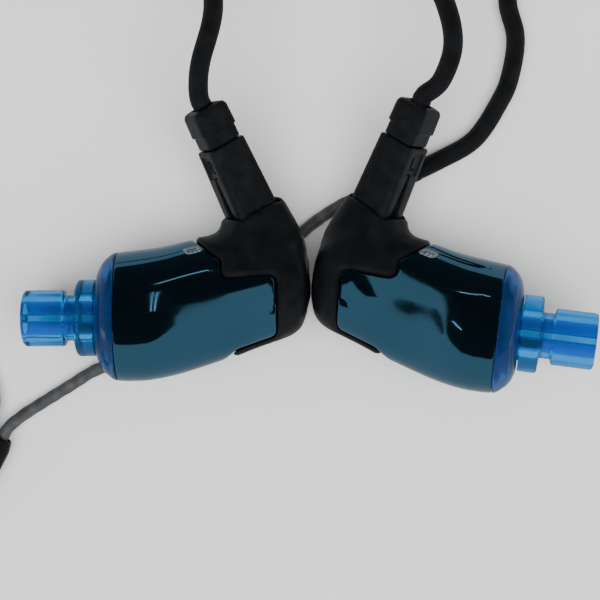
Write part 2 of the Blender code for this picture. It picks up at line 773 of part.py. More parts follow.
def make_coils():
    """The two coils, the splitter between them and the tie round the main cable's turns."""
    ring("branch_coil", *BRANCH_RING, "cable_black")
    ring("main_coil", *MAIN_RING, "cable_black")
    splitter = block("splitter", SPLITTER_SIZE, PARTS, bevel=SPLITTER_BEVEL)
    height = BRANCH_RING[3] + GAP + SPLITTER_SIZE[2] / 2
    at = (COIL_MIDDLE[0] - MAIN_RING[1] - GAP - SPLITTER_SIZE[1] / 2, COIL_MIDDLE[1], height)
    turn = Matrix.Rotation(math.radians(90), 4, "Z")
    place = Matrix.Translation(on_layout(*at) * MM) @ turn
    finish_part(splitter, "y_splitter", "black_plastic", None, place)
    inner, outer, low, high = MAIN_RING
    wide, tall = outer - inner + 2 * GAP, high - low + 2 * GAP
    loop = block("tie", (wide + 2 * STRAP, TIE_WIDTH, tall + 2 * STRAP), PARTS, bevel=STRAP / 2)
    loop = boolean(loop, block("tie space", (wide, 2 * TIE_WIDTH, tall), CUTTERS), "DIFFERENCE")
    lift = Matrix.Translation(on_layout(*COIL_MIDDLE, (low + high) / 2) * MM)
    turn = Matrix.Rotation(math.radians(TIE_TURN), 4, "Z")
    out = Matrix.Translation(Vector(((inner + outer) / 2, 0.0, 0.0)) * MM)
    finish_part(loop, "cable_tie", "cable_black", None, lift @ turn @ out)


def make_jack():
    """The stereo jack lying across the coil, its contacts split by insulator rings."""
    turn = Matrix.Rotation(math.radians(JACK_TURN), 4, "Z") @ along_x()
    east, north = (middle + off for middle, off in zip(COIL_MIDDLE, JACK_OFFSET))
    place = Matrix.Translation(on_layout(east, north, JACK_AXIS_Z) * MM)
    for name, slot, profile in JACK_PIECES:
        finish_part(turned(name, profile, PARTS, 14), name, slot, None, place @ turn)


clear_scene()
PARTS = new_collection("in ear monitors")
CUTTERS = new_collection("cutters")

fixed = {**make_casing(), **make_nozzle(), **make_inside(), **make_socket()}
plug_set = make_plug()
for which, sleeve_route in (("left", LEFT_SLEEVE), ("right", RIGHT_SLEEVE)):
    plug_empty = place_monitor(which, fixed, plug_set)
    make_sleeve(which, plug_empty, sleeve_route)
make_branch("left", LEFT_BRANCH, 0.0)
make_branch("right", RIGHT_BRANCH, 1.0)
make_slider()
make_coils()
make_jack()

for helper in CUTTERS.objects:
    helper.hide_render = True
    helper.display_type = "WIRE"
CUTTERS.hide_render = True
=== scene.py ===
"""Looks of the in-ear monitors: fine surfaces, cables at their real length, materials, light.

Lengths in the tables are millimetres and MM makes them metres. A monitor is shaped once, as the
left one, in its own frame (+X to the nozzle, +Y to the socket, +Z to the outer face), and its
mirror image is the right one. The frame and the routes are those of the CAD model.
"""

import math

import bmesh
import bpy
import numpy as np
from mathutils import Matrix, Vector


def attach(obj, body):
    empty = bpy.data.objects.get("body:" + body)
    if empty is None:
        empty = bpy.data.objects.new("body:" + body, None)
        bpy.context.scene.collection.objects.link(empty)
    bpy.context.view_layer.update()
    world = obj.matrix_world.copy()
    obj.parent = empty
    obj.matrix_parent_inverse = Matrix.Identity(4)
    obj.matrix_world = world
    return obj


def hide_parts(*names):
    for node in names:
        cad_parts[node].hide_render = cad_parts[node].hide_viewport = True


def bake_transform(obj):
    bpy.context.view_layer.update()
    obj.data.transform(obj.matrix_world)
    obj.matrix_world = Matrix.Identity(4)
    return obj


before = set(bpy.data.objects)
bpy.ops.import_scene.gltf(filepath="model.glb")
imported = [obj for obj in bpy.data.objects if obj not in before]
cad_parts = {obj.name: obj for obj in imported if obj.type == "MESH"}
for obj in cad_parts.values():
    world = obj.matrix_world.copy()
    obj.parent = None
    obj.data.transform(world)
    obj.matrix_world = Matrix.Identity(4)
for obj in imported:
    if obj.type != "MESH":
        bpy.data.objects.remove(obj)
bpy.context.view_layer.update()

MM = 0.001
ROOT = "monitors_and_cable"
MIRROR = Matrix.Diagonal((-1.0, 1.0, 1.0, 1.0))
SIDES = ("left", "right")
Z_TO_X = Matrix.Rotation(math.radians(90), 4, "Y")

# ------------ the CAD model's own places

PAIR_MIDDLE = (-0.1, 2.7)
PLACES = {
    "left": {"at": (-0.15, 1.05, 4.6), "turn": 7.1, "rise": 9.0, "seat": -3.0},
    "right": {"at": (-0.25, 0.0, 6.53), "turn": 0.5, "rise": -0.35, "seat": 3.0},
}
# (x, lowest y, highest y, half height) of the casing's sections
STATIONS = (
    (0.0, 2.9, 2.9, 0.0),
    (0.1, 1.9, 3.9, 1.2),
    (0.35, 0.5, 5.9, 2.9),
    (0.9, -0.9, 7.1, 3.9),
    (2.0, -1.95, 8.0, 4.55),
    (3.8, -2.65, 8.5, 4.8),
    (6.4, -3.5, 8.75, 4.85),
    (9.4, -4.75, 8.85, 4.9),
    (12.6, -5.75, 8.44, 5.15),
    (15.5, -6.5, 7.65, 5.65),
    (18.4, -6.95, 7.35, 6.15),
    (20.9, -6.8, 7.05, 6.35),
    (21.75, -6.25, 6.55, 5.95),
    (22.5, -5.4, 5.6, 5.2),
    (22.95, -4.25, 4.25, 4.25),
)
SECTION_POWER = 2.3
STEEPEST = 16.0
WALL = 0.9
BOOT_PROUD = 0.15
SEAM_X = 20.65
EASE = 2.6
EASE_STEPS = 5
EASE_REAR = (1.0, 3.0)
EASE_FRONT = (20.9, 2.0)
FRONT_X = 22.95
FRONT_ROUND = 0.25
# (x, y, corner radius) round the shell, seen from its outer face
SHELL_EDGE = (
    (24.0, 12.0, 0.0), (17.3, 12.0, 0.0), (9.4, 5.94, 0.5), (9.4, 4.0, 0.9),
    (3.5, 4.4, 0.8), (3.5, -2.0, 0.9), (7.8, -3.5, 1.6), (12.0, -7.1, 0.0),
    (12.0, -9.0, 0.0), (24.0, -9.0, 0.0),
)
RIM_AT = (6.2, 11.8, 0.5)
SEAT_PIVOT = -3.3
PLUG_LEAN = 21.2
PLUG_TILT = 17.0
PLUG_ROLL = 25.0
# (height, half width, half depth), as in all lofts
TOWER = ((-7.5, 3.2, 2.7), (-5.0, 3.75, 3.35), (-3.0, 3.75, 3.4), (-1.2, 3.5, 3.15), (0.0, 3.3, 2.95))
TOWER_HOLE = (2.68, 2.31)
PLUG_TOP = 12.1
PLUG_POWER = 7.0
PIN_OFFSET = 1.0
SLEEVE_RADIUS = 1.05
BRANCH_RADIUS = 0.7
MAIN_RADIUS = 1.0
LYING = 0.05
SLEEVE_Z = SLEEVE_RADIUS + LYING
BRANCH_Z = BRANCH_RADIUS + LYING
LEFT_SLEEVE = (
    (13.6, 24.9, 10.9), (14.75, 28.6, 11.8), (13.9, 33.3, 11.0), (11.3, 39.5, 8.2),
    (12.2, 45.0, 4.6), (17.5, 48.2, 2.2), (22.5, 45.6, 1.2), (23.0, 40.5, SLEEVE_Z),
    (22.0, 35.5, SLEEVE_Z), (22.9, 31.2, SLEEVE_Z), (22.3, 26.9, SLEEVE_Z),
    (21.1, 24.0, SLEEVE_Z), (18.3, 19.8, SLEEVE_Z), (14.3, 17.4, SLEEVE_Z),
    (9.6, 15.2, SLEEVE_Z),
)
RIGHT_SLEEVE = (
    (-12.0, 24.5, 11.4), (-11.7, 26.8, 11.8), (-10.4, 33.0, 11.4), (-12.4, 41.0, 7.6),
    (-19.5, 47.0, 3.8), (-29.5, 48.2, 1.6), (-38.0, 44.5, SLEEVE_Z),
    (-42.6, 38.5, SLEEVE_Z),
)
SLIDER_ENTRY = (-34.4, -13.2)
SLIDER_ALONG = (-0.45, -0.893)
SLIDER_LENGTH = 9.0
SLIDER_TRAVEL = 5.0
SLIDER_HALF = (2.5, 1.5)
SLIDER_BORE = 0.95
STRAND_OFFSET = 1.1
LEFT_BRANCH = (
    (9.33, 15.07, BRANCH_Z), (6.0, 13.6, BRANCH_Z), (2.6, 12.0, BRANCH_Z),
    (-1.3, 9.05, BRANCH_Z), (-4.3, 5.0, BRANCH_Z), (-6.4, 0.6, BRANCH_Z),
    (-10.0, -3.1, BRANCH_Z), (-15.0, -4.9, BRANCH_Z), (-20.0, -5.3, BRANCH_Z),
    (-23.9, -6.0, BRANCH_Z), (-27.3, -8.0, BRANCH_Z), (-30.7, -10.1, 0.8),
    (-32.9, -11.6, 1.2),
)
RIGHT_BRANCH = (
    (-42.75, 38.24, BRANCH_Z), (-44.6, 31.0, BRANCH_Z), (-43.6, 22.0, BRANCH_Z),
    (-40.2, 12.0, BRANCH_Z), (-38.4, 3.0, BRANCH_Z), (-36.6, -5.0, BRANCH_Z),
    (-35.6, -9.6, 1.2),
)
COIL_MIDDLE = (-60.0, -2.0)
COIL_ENTRY = ((-60.0, 27.6), (-70.0, 23.6), (-80.0, 20.7))
STRANDS_APART = 2.1
JACK_TURN = 25.0
JACK_AT = (-56.0, 1.0, 10.2)


def on_layout(x, y, z):
    """From the layout's own millimetres to those of the frame, whose origin is the pair's middle."""
    return Vector((x - PAIR_MIDDLE[0], y - PAIR_MIDDLE[1], z))


def placed(at, turn):
    """From a shape's own mm to the world in metres, at a place on the layout."""
    return Matrix.Scale(MM, 4) @ Matrix.Translation(on_layout(*at)) @ turn


def plug_frame():
    """From the plug's own directions (width, depth, out) to the left monitor's frame."""
    lean, tilt, roll = (math.radians(a) for a in (PLUG_LEAN, PLUG_TILT, PLUG_ROLL))
    out = Vector(
        (math.sin(lean) * math.cos(tilt), math.cos(lean) * math.cos(tilt), math.sin(tilt))
    )
    side = Vector((math.cos(lean), -math.sin(lean), 0.0))
    raised = side.cross(out)
    width = side * math.cos(roll) + raised * math.sin(roll)
    depth = out.cross(width)
    return Matrix.Translation(RIM_AT) @ Matrix((width, depth, out)).transposed().to_4x4()


def monitor_place(side):
    """From a point of the left-hand shape, in mm, to the world in metres."""
    spot = PLACES[side]
    turn = Matrix.Rotation(math.radians(-spot["turn"]), 4, "Z")
    rise = Matrix.Rotation(math.radians(-spot["rise"]), 4, "Y")
    mirror = MIRROR if side == "right" else Matrix.Identity(4)
    return placed(spot["at"], mirror @ turn @ rise)


def plug_place(side):
    """From the plug's own directions to the world, with the plug turned a little in its seat."""
    seat = Matrix.Rotation(math.radians(-PLACES[side]["seat"]), 4, "Z")
    pivot = Matrix.Translation(plug_frame() @ Vector((0.0, 0.0, SEAT_PIVOT)))
    return monitor_place(side) @ pivot @ seat @ pivot.inverted() @ plug_frame()


# ------------ distance fields and their skins

ARC_STEPS = 6


def monotone(xs, ys, x):
    """A smooth curve through points that never overshoots them."""
    xs, ys = np.asarray(xs, float), np.asarray(ys, float)
    steps = np.diff(xs)
    slopes = np.diff(ys) / steps
    at = np.zeros_like(ys)
    same = slopes[:-1] * slopes[1:] > 0
    first, second = 2 * steps[1:] + steps[:-1], steps[1:] + 2 * steps[:-1]
    with np.errstate(divide="ignore", invalid="ignore"):
        mean = (first + second) / (first / slopes[:-1] + second / slopes[1:])
    at[1:-1] = np.where(same, mean, 0.0)
    at[0], at[-1] = slopes[0], slopes[-1]
    x = np.clip(x, xs[0], xs[-1])
    k = np.clip(np.searchsorted(xs, x) - 1, 0, len(xs) - 2)
    t = (x - xs[k]) / steps[k]
    return (
        (1 + 2 * t) * (1 - t) ** 2 * ys[k]
        + t * (1 - t) ** 2 * steps[k] * at[k]
        + t * t * (3 - 2 * t) * ys[k + 1]
        + t * t * (t - 1) * steps[k] * at[k + 1]
    )


def eased(xs, ys, x):
    """The monotone curve averaged over a reach that shrinks to nothing at both ends.

    The average takes the steps out of the curvature, and with them the kinks in reflections.
    """
    (rear, rear_run), (front, front_run) = EASE_REAR, EASE_FRONT
    reach = EASE * np.clip((x - rear) / rear_run, 0.0, 1.0)
    reach = reach * np.clip((front - x) / front_run, 0.0, 1.0)
    total = 0.0
    for k in range(-EASE_STEPS, EASE_STEPS + 1):
        weight = (EASE_STEPS + 1 - abs(k)) / (EASE_STEPS + 1) ** 2
        total = total + weight * monotone(xs, ys, x + reach * k / EASE_STEPS)
    return total


def smooth_step(share):
    share = np.clip(share, 0.0, 1.0)
    return share * share * (3 - 2 * share)


def lower(a, b, blend):
    """The smaller of two fields, with a fillet where they meet."""
    near = np.maximum(blend - np.abs(a - b), 0.0) / blend
    return np.minimum(a, b) - near * near * blend / 4


def upper(a, b, blend):
    return -lower(-a, -b, blend)


def grid(low, high, step):
    axes = [np.arange(a, b + step, step) for a, b in zip(low, high)]
    return np.meshgrid(*axes, indexing="ij", sparse=True)


def true_distance(field, step):
    """The field over its slope, the slope kept from running away outside a pointed end."""
    slope = np.sqrt(sum(g * g for g in np.gradient(field, step)))
    slope = np.where(field > 0, np.minimum(slope, STEEPEST), slope)
    return field / np.maximum(slope, 1e-3)


def casing_field(x, y, z, step):
    """Distance to the casing, with its rear end closed by half sizes squared running to zero."""
    table = np.array(STATIONS)
    at = table[:, 0]
    middle = eased(at[1:], (table[1:, 1] + table[1:, 2]) / 2, x)
    high = table[:, 3] ** 2
    high_squared = eased(at, high, x) + np.minimum(x, 0.0) * high[1] / at[1]
    shape = eased(at[1:], table[1:, 3] / (table[1:, 2] - table[1:, 1]) * 2, x)
    along_y, along_z = np.abs(y - middle) * shape, np.abs(z)
    reach = (along_y**SECTION_POWER + along_z**SECTION_POWER + 1e-9) ** (2 / SECTION_POWER)
    field = true_distance(reach - high_squared, step)
    return upper(field, x - FRONT_X, FRONT_ROUND)


def outline_field(outlines, x, y):
    """Signed distance to closed outlines, less than zero inside; an outline in another is a hole."""
    px, py = np.broadcast_arrays(x, y)
    nearest = np.full(px.shape, 1e9)
    inside = np.zeros(px.shape, bool)
    edges = [edge for points in outlines for edge in zip(points, points[1:] + points[:1])]
    for (ax, ay), (bx, by) in edges:
        dx, dy = bx - ax, by - ay
        length = dx * dx + dy * dy
        if length < 1e-12:
            continue
        t = np.clip(((px - ax) * dx + (py - ay) * dy) / length, 0, 1)
        nearest = np.minimum(nearest, np.hypot(px - ax - t * dx, py - ay - t * dy))
        if dy:
            crosses = (ay > py) != (by > py)
            inside ^= crosses & (px < ax + (py - ay) * dx / dy)
    return np.where(inside, -nearest, nearest)


def rounded_outline(corners):
    """A closed outline from (x, y, radius) corners."""
    points = []
    for k, (x, y, radius) in enumerate(corners):
        corner = Vector((x, y))
        if radius == 0.0:
            points.append(tuple(corner))
            continue
        before = (Vector(corners[k - 1][:2]) - corner).normalized()
        after = (Vector(corners[(k + 1) % len(corners)][:2]) - corner).normalized()
        half = before.angle(after) / 2
        middle = corner + (before + after).normalized() * radius / math.sin(half)
        reach = radius / math.tan(half)
        first, last = corner + before * reach - middle, corner + after * reach - middle
        for step in range(ARC_STEPS + 1):
            spoke = first.slerp(last, step / ARC_STEPS).normalized()
            points.append(tuple(middle + spoke * radius))
    return points


def skin(field, low, step):
    """Surface net of field = 0: (points, quads, normals), its points moved onto the surface."""
    shape = np.array(field.shape)
    inside = field < 0
    cells = tuple(shape - 1)
    total, count = np.zeros((*cells, 3)), np.zeros(cells)
    quads = []
    for axis in range(3):
        ahead = [slice(None)] * 3
        behind = [slice(None)] * 3
        ahead[axis], behind[axis] = slice(1, None), slice(None, -1)
        a, b = field[tuple(behind)], field[tuple(ahead)]
        crossing = inside[tuple(behind)] != inside[tuple(ahead)]
        where = np.argwhere(crossing)
        fa, fb = a[crossing], b[crossing]
        points = where.astype(float)
        points[:, axis] += fa / (fa - fb)
        first, second = (axis + 1) % 3, (axis + 2) % 3
        for i in (0, 1):
            for j in (0, 1):
                cell = where.copy()
                cell[:, first] -= i
                cell[:, second] -= j
                good = ((cell >= 0) & (cell < np.array(cells))).all(axis=1)
                index = tuple(cell[good].T)
                np.add.at(total, index, points[good])
                np.add.at(count, index, 1)
        full = (where[:, first] > 0) & (where[:, second] > 0)
        full &= (where[:, first] < cells[first]) & (where[:, second] < cells[second])
        where, rising = where[full], (fa < fb)[full]
        ring = []
        for i, j in ((1, 1), (0, 1), (0, 0), (1, 0)):
            cell = where.copy()
            cell[:, first] -= i
            cell[:, second] -= j
            ring.append(np.ravel_multi_index(tuple(cell.T), cells))
        ring = np.stack(ring, axis=1)
        quads.append(np.where(rising[:, None], ring, ring[:, ::-1]))
    quads = np.concatenate(quads)
    used, quads = np.unique(quads, return_inverse=True)
    quads = quads.reshape(-1, 4)
    points = (total.reshape(-1, 3)[used]) / count.reshape(-1)[used][:, None]
    slopes = np.stack(np.gradient(field), axis=-1)
    for _ in range(2):
        value, slope = sample(field, points), sample(slopes, points)
        size = np.maximum((slope * slope).sum(1), 1e-4)
        move = slope * (value / size)[:, None]
        points -= np.clip(move, -0.4, 0.4)
    normals = sample(slopes, points)
    normals /= np.maximum(np.linalg.norm(normals, axis=1), 1e-9)[:, None]
    return points * step + np.array(low), quads, normals


def sample(values, points):
    """Values between the grid's points, linear in each direction."""
    limit = np.array(values.shape[:3]) - 1.001
    points = np.clip(points, 0, limit)
    base = points.astype(int)
    part = points - base
    found = 0
    for i in (0, 1):
        for j in (0, 1):
            for k in (0, 1):
                weight = (
                    (part[:, 0] if i else 1 - part[:, 0])
                    * (part[:, 1] if j else 1 - part[:, 1])
                    * (part[:, 2] if k else 1 - part[:, 2])
                )
                value = values[base[:, 0] + i, base[:, 1] + j, base[:, 2] + k]
                found = found + (weight[:, None] * value if value.ndim > 1 else weight * value)
    return found


# ------------ making objects

SHARP_EDGE = 35.0
CORNER_STEPS = 3


def link(made):
    bpy.context.scene.collection.objects.link(made)
    return made


def dress(made, material, body=None, replaces=()):
    """A piece's material, its colour slot, the body it rides on and the nodes it stands for."""
    made.data.materials.clear()
    made.data.materials.append(material)
    if body:
        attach(made, body)
    if replaces:
        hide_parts(*replaces)
    return made


def mesh_of(name, points, faces, normals=None, matrix=Matrix.Identity(4)):
    """A smooth mesh object with its points moved by a matrix."""
    moved = np.array(matrix, float)
    points = np.asarray(points) @ moved[:3, :3].T + moved[:3, 3]
    faces = np.asarray(faces)
    if Matrix(matrix).determinant() < 0:
        faces = faces[:, ::-1]
    mesh = bpy.data.meshes.new(name)
    mesh.from_pydata([], [], [])
    mesh.vertices.add(len(points))
    mesh.vertices.foreach_set("co", points.astype(np.float32).ravel())
    sides = faces.shape[1]
    mesh.loops.add(faces.size)
    mesh.loops.foreach_set("vertex_index", faces.astype(np.int32).ravel())
    mesh.polygons.add(len(faces))
    mesh.polygons.foreach_set("loop_start", np.arange(0, faces.size, sides, dtype=np.int32))
    mesh.update(calc_edges=True)
    mesh.validate()
    mesh.shade_smooth()
    if normals is not None:
        turned = normals @ np.linalg.inv(moved[:3, :3])
        turned /= np.linalg.norm(turned, axis=1)[:, None]
        mesh.normals_split_custom_set_from_vertices([tuple(n) for n in turned])
    return link(bpy.data.objects.new(name, mesh))


def bm_object(name, bm, matrix):
    """A mesh object from a bmesh in mm, its faces turned out and its far edges kept sharp."""
    bm.transform(matrix)
    bmesh.ops.recalc_face_normals(bm, faces=bm.faces)
    mesh = bpy.data.meshes.new(name)
    bm.to_mesh(mesh)
    bm.free()
    mesh.shade_smooth()
    mesh.set_sharp_from_angle(angle=math.radians(SHARP_EDGE))
    return link(bpy.data.objects.new(name, mesh))


def turned_rings(profile, steps):
    """A bmesh turned about +Z from (height, radius) points, with a flat face at each end."""
    bm = bmesh.new()
    rows = []
    for height, radius in profile:
        row = []
        for k in range(steps):
            angle = 2 * math.pi * k / steps
            row.append(bm.verts.new((radius * math.cos(angle), radius * math.sin(angle), height)))
        rows.append(row)
    for row, following in zip(rows, rows[1:]):
        for k in range(steps):
            after = (k + 1) % steps
            bm.faces.new((row[k], row[after], following[after], following[k]))
    bm.faces.new(rows[0])
    bm.faces.new(rows[-1])
    return bm


def soft_profile(points, radius):
    """A turned profile with each corner but the first and last rounded off."""
    corners = [Vector(point) for point in points]
    rounded = [tuple(corners[0])]
    for previous, corner, following in zip(corners, corners[1:], corners[2:]):
        before, after = previous - corner, following - corner
        reach = min(radius, before.length * 0.45, after.length * 0.45)
        start, end = corner + before.normalized() * reach, corner + after.normalized() * reach
        for step in range(CORNER_STEPS + 1):
            t = step / CORNER_STEPS
            rounded.append(tuple(start * (1 - t) ** 2 + corner * 2 * t * (1 - t) + end * t * t))
    return [*rounded, tuple(corners[-1])]


def smooth_route(points, spacing):
    """Evenly spaced points on one smooth curve through a cord's route."""
    route = [Vector(p) for p in points]
    ends = [route[0] * 2 - route[1], *route, route[-1] * 2 - route[-2]]
    fine = []
    for a, b, c, d in zip(ends, ends[1:], ends[2:], ends[3:]):
        for step in range(12):
            t = step / 12
            fine.append(
                0.5
                * (
                    2 * b
                    + (c - a) * t
                    + (2 * a - 5 * b + 4 * c - d) * t**2
                    + (3 * b - a - 3 * c + d) * t**3
                )
            )
    fine.append(route[-1])
    array = np.array(fine)
    travelled = np.concatenate([[0], np.cumsum(np.linalg.norm(np.diff(array, axis=0), axis=1))])
    count = max(2, round(travelled[-1] / spacing) + 1)
    wanted = np.linspace(0, travelled[-1], count)
    return np.stack([np.interp(wanted, travelled, array[:, k]) for k in range(3)], axis=1)


def length_of(path):
    return float(np.linalg.norm(np.diff(path, axis=0), axis=1).sum())


def sides_along(path):
    """Two directions square to a path at each point, turning as little as they can."""
    along = np.gradient(path, axis=0)
    along /= np.linalg.norm(along, axis=1)[:, None]
    side = np.cross(along[0], (0.0, 0.0, 1.0))
    side /= np.linalg.norm(side)
    first = []
    for direction in along:
        side = side - direction * side.dot(direction)
        side /= np.linalg.norm(side)
        first.append(side)
    first = np.array(first)
    return first, np.cross(along, first)


def tube_mesh(name, path, radius_at, sides):
    """A closed tube along a path in metres; radius_at(distances, angles) gives its radius."""
    first, second = sides_along(path)
    travelled = np.concatenate([[0], np.cumsum(np.linalg.norm(np.diff(path, axis=0), axis=1))])
    angles = 2 * np.pi * np.arange(sides) / sides
    radius = radius_at(travelled[:, None], angles[None, :])
    rings = (
        path[:, None, :]
        + radius[..., None] * np.cos(angles)[None, :, None] * first[:, None, :]
        + radius[..., None] * np.sin(angles)[None, :, None] * second[:, None, :]
    )
    count = len(path)
    row = np.arange(count - 1)[:, None] * sides
    k = np.arange(sides)[None, :]
    after = (k + 1) % sides
    quads = np.stack([row + k, row + after, row + sides + after, row + sides + k], axis=-1)
    made = mesh_of(name, rings.reshape(-1, 3), quads.reshape(-1, 4))
    bm = bmesh.new()
    bm.from_mesh(made.data)
    bmesh.ops.holes_fill(bm, edges=[e for e in bm.edges if e.is_boundary], sides=0)
    bmesh.ops.recalc_face_normals(bm, faces=bm.faces)
    bm.to_mesh(made.data)
    bm.free()
    made.data.shade_smooth()
    made.data.set_sharp_from_angle(angle=math.radians(50))
    return made


def curve_cord(name, path, radius):
    """A cord as a curve through its own line, in metres."""
    curve = bpy.data.curves.new(name, "CURVE")
    curve.dimensions = "3D"
    curve.bevel_depth = radius
    curve.bevel_resolution = 6
    curve.use_fill_caps = True
    spline = curve.splines.new("POLY")
    spline.points.add(len(path) - 1)
    spline.points.foreach_set("co", np.hstack([path, np.ones((len(path), 1))]).ravel())
    spline.use_smooth = True
    return link(bpy.data.objects.new(name, curve))


# ------------ materials


def finish(name, colour, rough, grain=None, stretch=(1.0, 1.0, 1.0), **settings):
    """A material of patches of two colours, with uneven gloss and a fine grain.

    colour is (patch size, detail, stop, stop) with stops of (share, colour), rough is (patch size,
    detail, low, high) and grain is (size, detail, depth, strength), with sizes and depths in mm.
    stretch squeezes the gloss patches along each axis; settings are the shader's own constants.
    """
    material = bpy.data.materials.new(name)
    material.use_nodes = True
    nodes, join = material.node_tree.nodes, material.node_tree.links.new
    shader = nodes["Principled BSDF"]
    where = nodes.new("ShaderNodeTexCoord").outputs["Object"]

    def fill(node, values):
        for key, value in values.items():
            node.inputs[key.replace("_", " ")].default_value = value

    def add(kind, source, entry, **values):
        node = nodes.new("ShaderNode" + kind)
        fill(node, values)
        join(source, node.inputs[entry])
        return node

    def noise(size, detail, source=where):
        scale = 1.0 / (size * MM)
        return add("TexNoise", source, "Vector", Scale=scale, Detail=detail).outputs["Fac"]

    fill(shader, settings)
    ramp = add("ValToRGB", noise(*colour[:2]), "Fac")
    for element, (place, shade) in zip(ramp.color_ramp.elements, colour[2:]):
        element.position = place
        element.color = (*shade, 1.0)
    join(ramp.outputs["Color"], shader.inputs["Base Color"])
    source = add("Mapping", where, "Vector", Scale=stretch).outputs["Vector"]
    low, high = rough[2:]
    ends = {"From_Min": 0.3, "From_Max": 0.7, "To_Min": low, "To_Max": high}
    gloss = add("MapRange", noise(*rough[:2], source), "Value", **ends)
    join(gloss.outputs["Result"], shader.inputs["Roughness"])
    if grain:
        size, detail, depth, strength = grain
        relief = add("Bump", noise(size, detail), "Height", Strength=strength, Distance=depth * MM)
        for socket in ("Normal", "Coat Normal"):
            join(relief.outputs["Normal"], shader.inputs[socket])
    return material


MATERIALS = {
    "shell": finish(
        "teal metallic lacquer",
        colour=(7.0, 1.0, (0.3, (0.06, 0.185, 0.29)), (0.7, (0.07, 0.205, 0.32))),
        rough=(1.6, 3.0, 0.045, 0.085),
        grain=(2.4, 1.0, 0.004, 0.5),
        Metallic=1.0,
        IOR=1.5,
        Coat_Weight=0.25,
        Coat_Roughness=0.03,
    ),
    "boot": finish(
        "satin black boot",
        colour=(1.5, 3.0, (0.3, (0.003, 0.0035, 0.0045)), (0.75, (0.0065, 0.007, 0.0085))),
        rough=(0.9, 4.0, 0.3, 0.46),
        grain=(0.11, 2.0, 0.008, 0.45),
        Specular_IOR_Level=0.22,
    ),
    "cap": finish(
        "frosted royal blue",
        colour=(3.0, 2.0, (0.3, (0.014, 0.095, 0.3)), (0.7, (0.024, 0.12, 0.38))),
        rough=(0.8, 4.0, 0.1, 0.2),
        grain=(0.16, 2.0, 0.01, 0.3),
        Transmission_Weight=0.85,
        IOR=1.42,
        Coat_Weight=0.1,
        Coat_Roughness=0.15,
    ),
    "nozzle": finish(
        "clear blue",
        colour=(4.0, 1.0, (0.3, (0.018, 0.27, 0.72)), (0.7, (0.028, 0.31, 0.77))),
        rough=(0.7, 3.0, 0.05, 0.14),
        grain=(0.5, 2.0, 0.006, 0.35),
        Transmission_Weight=0.92,
        IOR=1.42,
    ),
    "plug": finish(
        "satin black plug",
        colour=(1.2, 3.0, (0.3, (0.004, 0.0045, 0.0055)), (0.75, (0.008, 0.0085, 0.01))),
        rough=(0.5, 4.0, 0.26, 0.4),
        grain=(0.07, 2.0, 0.006, 0.5),
        Specular_IOR_Level=0.35,
    ),
    "sleeve": finish(
        "black cable sleeve",
        colour=(2.0, 3.0, (0.3, (0.004, 0.0045, 0.005)), (0.75, (0.008, 0.0085, 0.01))),
        rough=(0.6, 3.0, 0.36, 0.55),
        grain=(0.15, 2.0, 0.01, 0.4),
        Specular_IOR_Level=0.2,
    ),
    "cable": finish(
        "grey twisted cable",
        colour=(1.0, 3.0, (0.3, (0.035, 0.037, 0.04)), (0.75, (0.075, 0.078, 0.082))),
        rough=(0.5, 3.0, 0.35, 0.55),
        grain=(0.12, 2.0, 0.01, 0.4),
        Specular_IOR_Level=0.4,
        Coat_Weight=0.2,
        Coat_Roughness=0.25,
    ),
    "gold": finish(
        "gold plating",
        colour=(1.5, 2.0, (0.3, (0.82, 0.56, 0.22)), (0.7, (0.9, 0.64, 0.28))),
        rough=(0.4, 4.0, 0.14, 0.3),
        Metallic=1.0,
    ),
    "can": finish(
        "drawn metal can",
        colour=(1.5, 2.0, (0.3, (0.5, 0.51, 0.53)), (0.7, (0.62, 0.63, 0.65))),
        rough=(0.3, 4.0, 0.2, 0.42),
        stretch=(1.0, 8.0, 1.0),
        Metallic=1.0,
    ),
    "board": finish(
        "green circuit board",
        colour=(0.5, 2.0, (0.45, (0.01, 0.12, 0.05)), (0.6, (0.02, 0.2, 0.09))),
        rough=(0.4, 2.0, 0.35, 0.5),
        Specular_IOR_Level=0.5,
    ),
    "tube": finish(
        "clear tube",
        colour=(1.5, 2.0, (0.3, (0.5, 0.6, 0.7)), (0.7, (0.6, 0.7, 0.8))),
        rough=(0.4, 2.0, 0.15, 0.3),
        Transmission_Weight=0.8,
        IOR=1.4,
    ),
    "damper": finish(
        "green damper mesh",
        colour=(0.12, 1.0, (0.4, (0.005, 0.03, 0.02)), (0.6, (0.02, 0.12, 0.08))),
        rough=(0.1, 1.0, 0.5, 0.8),
        grain=(0.08, 1.0, 0.03, 0.8),
    ),
    "mark": finish(
        "pale print",
        colour=(0.5, 3.0, (0.3, (0.17, 0.19, 0.19)), (0.7, (0.21, 0.23, 0.23))),
        rough=(0.3, 2.0, 0.4, 0.55),
    ),
    "ground": finish(
        "pale floor",
        colour=(40.0, 4.0, (0.3, (0.78, 0.78, 0.775)), (0.7, (0.82, 0.82, 0.815))),
        rough=(6.0, 4.0, 0.5, 0.7),
        Specular_IOR_Level=0.2,
    ),
}

# ------------ camera, floor and light

VIEW_AT = (-1.3, 1.73, 162.0)
LENS = 86.0
SENSOR = 36.0
CLIP_METRES = (0.005, 20.0)
FLOOR_SIZE = 1500.0
SKY = (0.97, 0.99, 1.0)
SKY_STRENGTH = 0.43
# places and sizes in metres
AREA_LIGHTS = {
    "overhead": {"at": (0.0, -0.25, 0.9), "size": (1.4, 0.8), "power": 17.0},
    "left": {"at": (-0.9, 0.0, 0.3), "size": (0.6, 0.35), "power": 1.2},
    "right": {"at": (0.9, 0.0, 0.3), "size": (0.6, 0.35), "power": 1.2},
}
LAMP_GLOW = 3.0
LAMP_DROP = 1.0
SHEET_SHADE = 0.03
SHEET_HEIGHT = 30.0
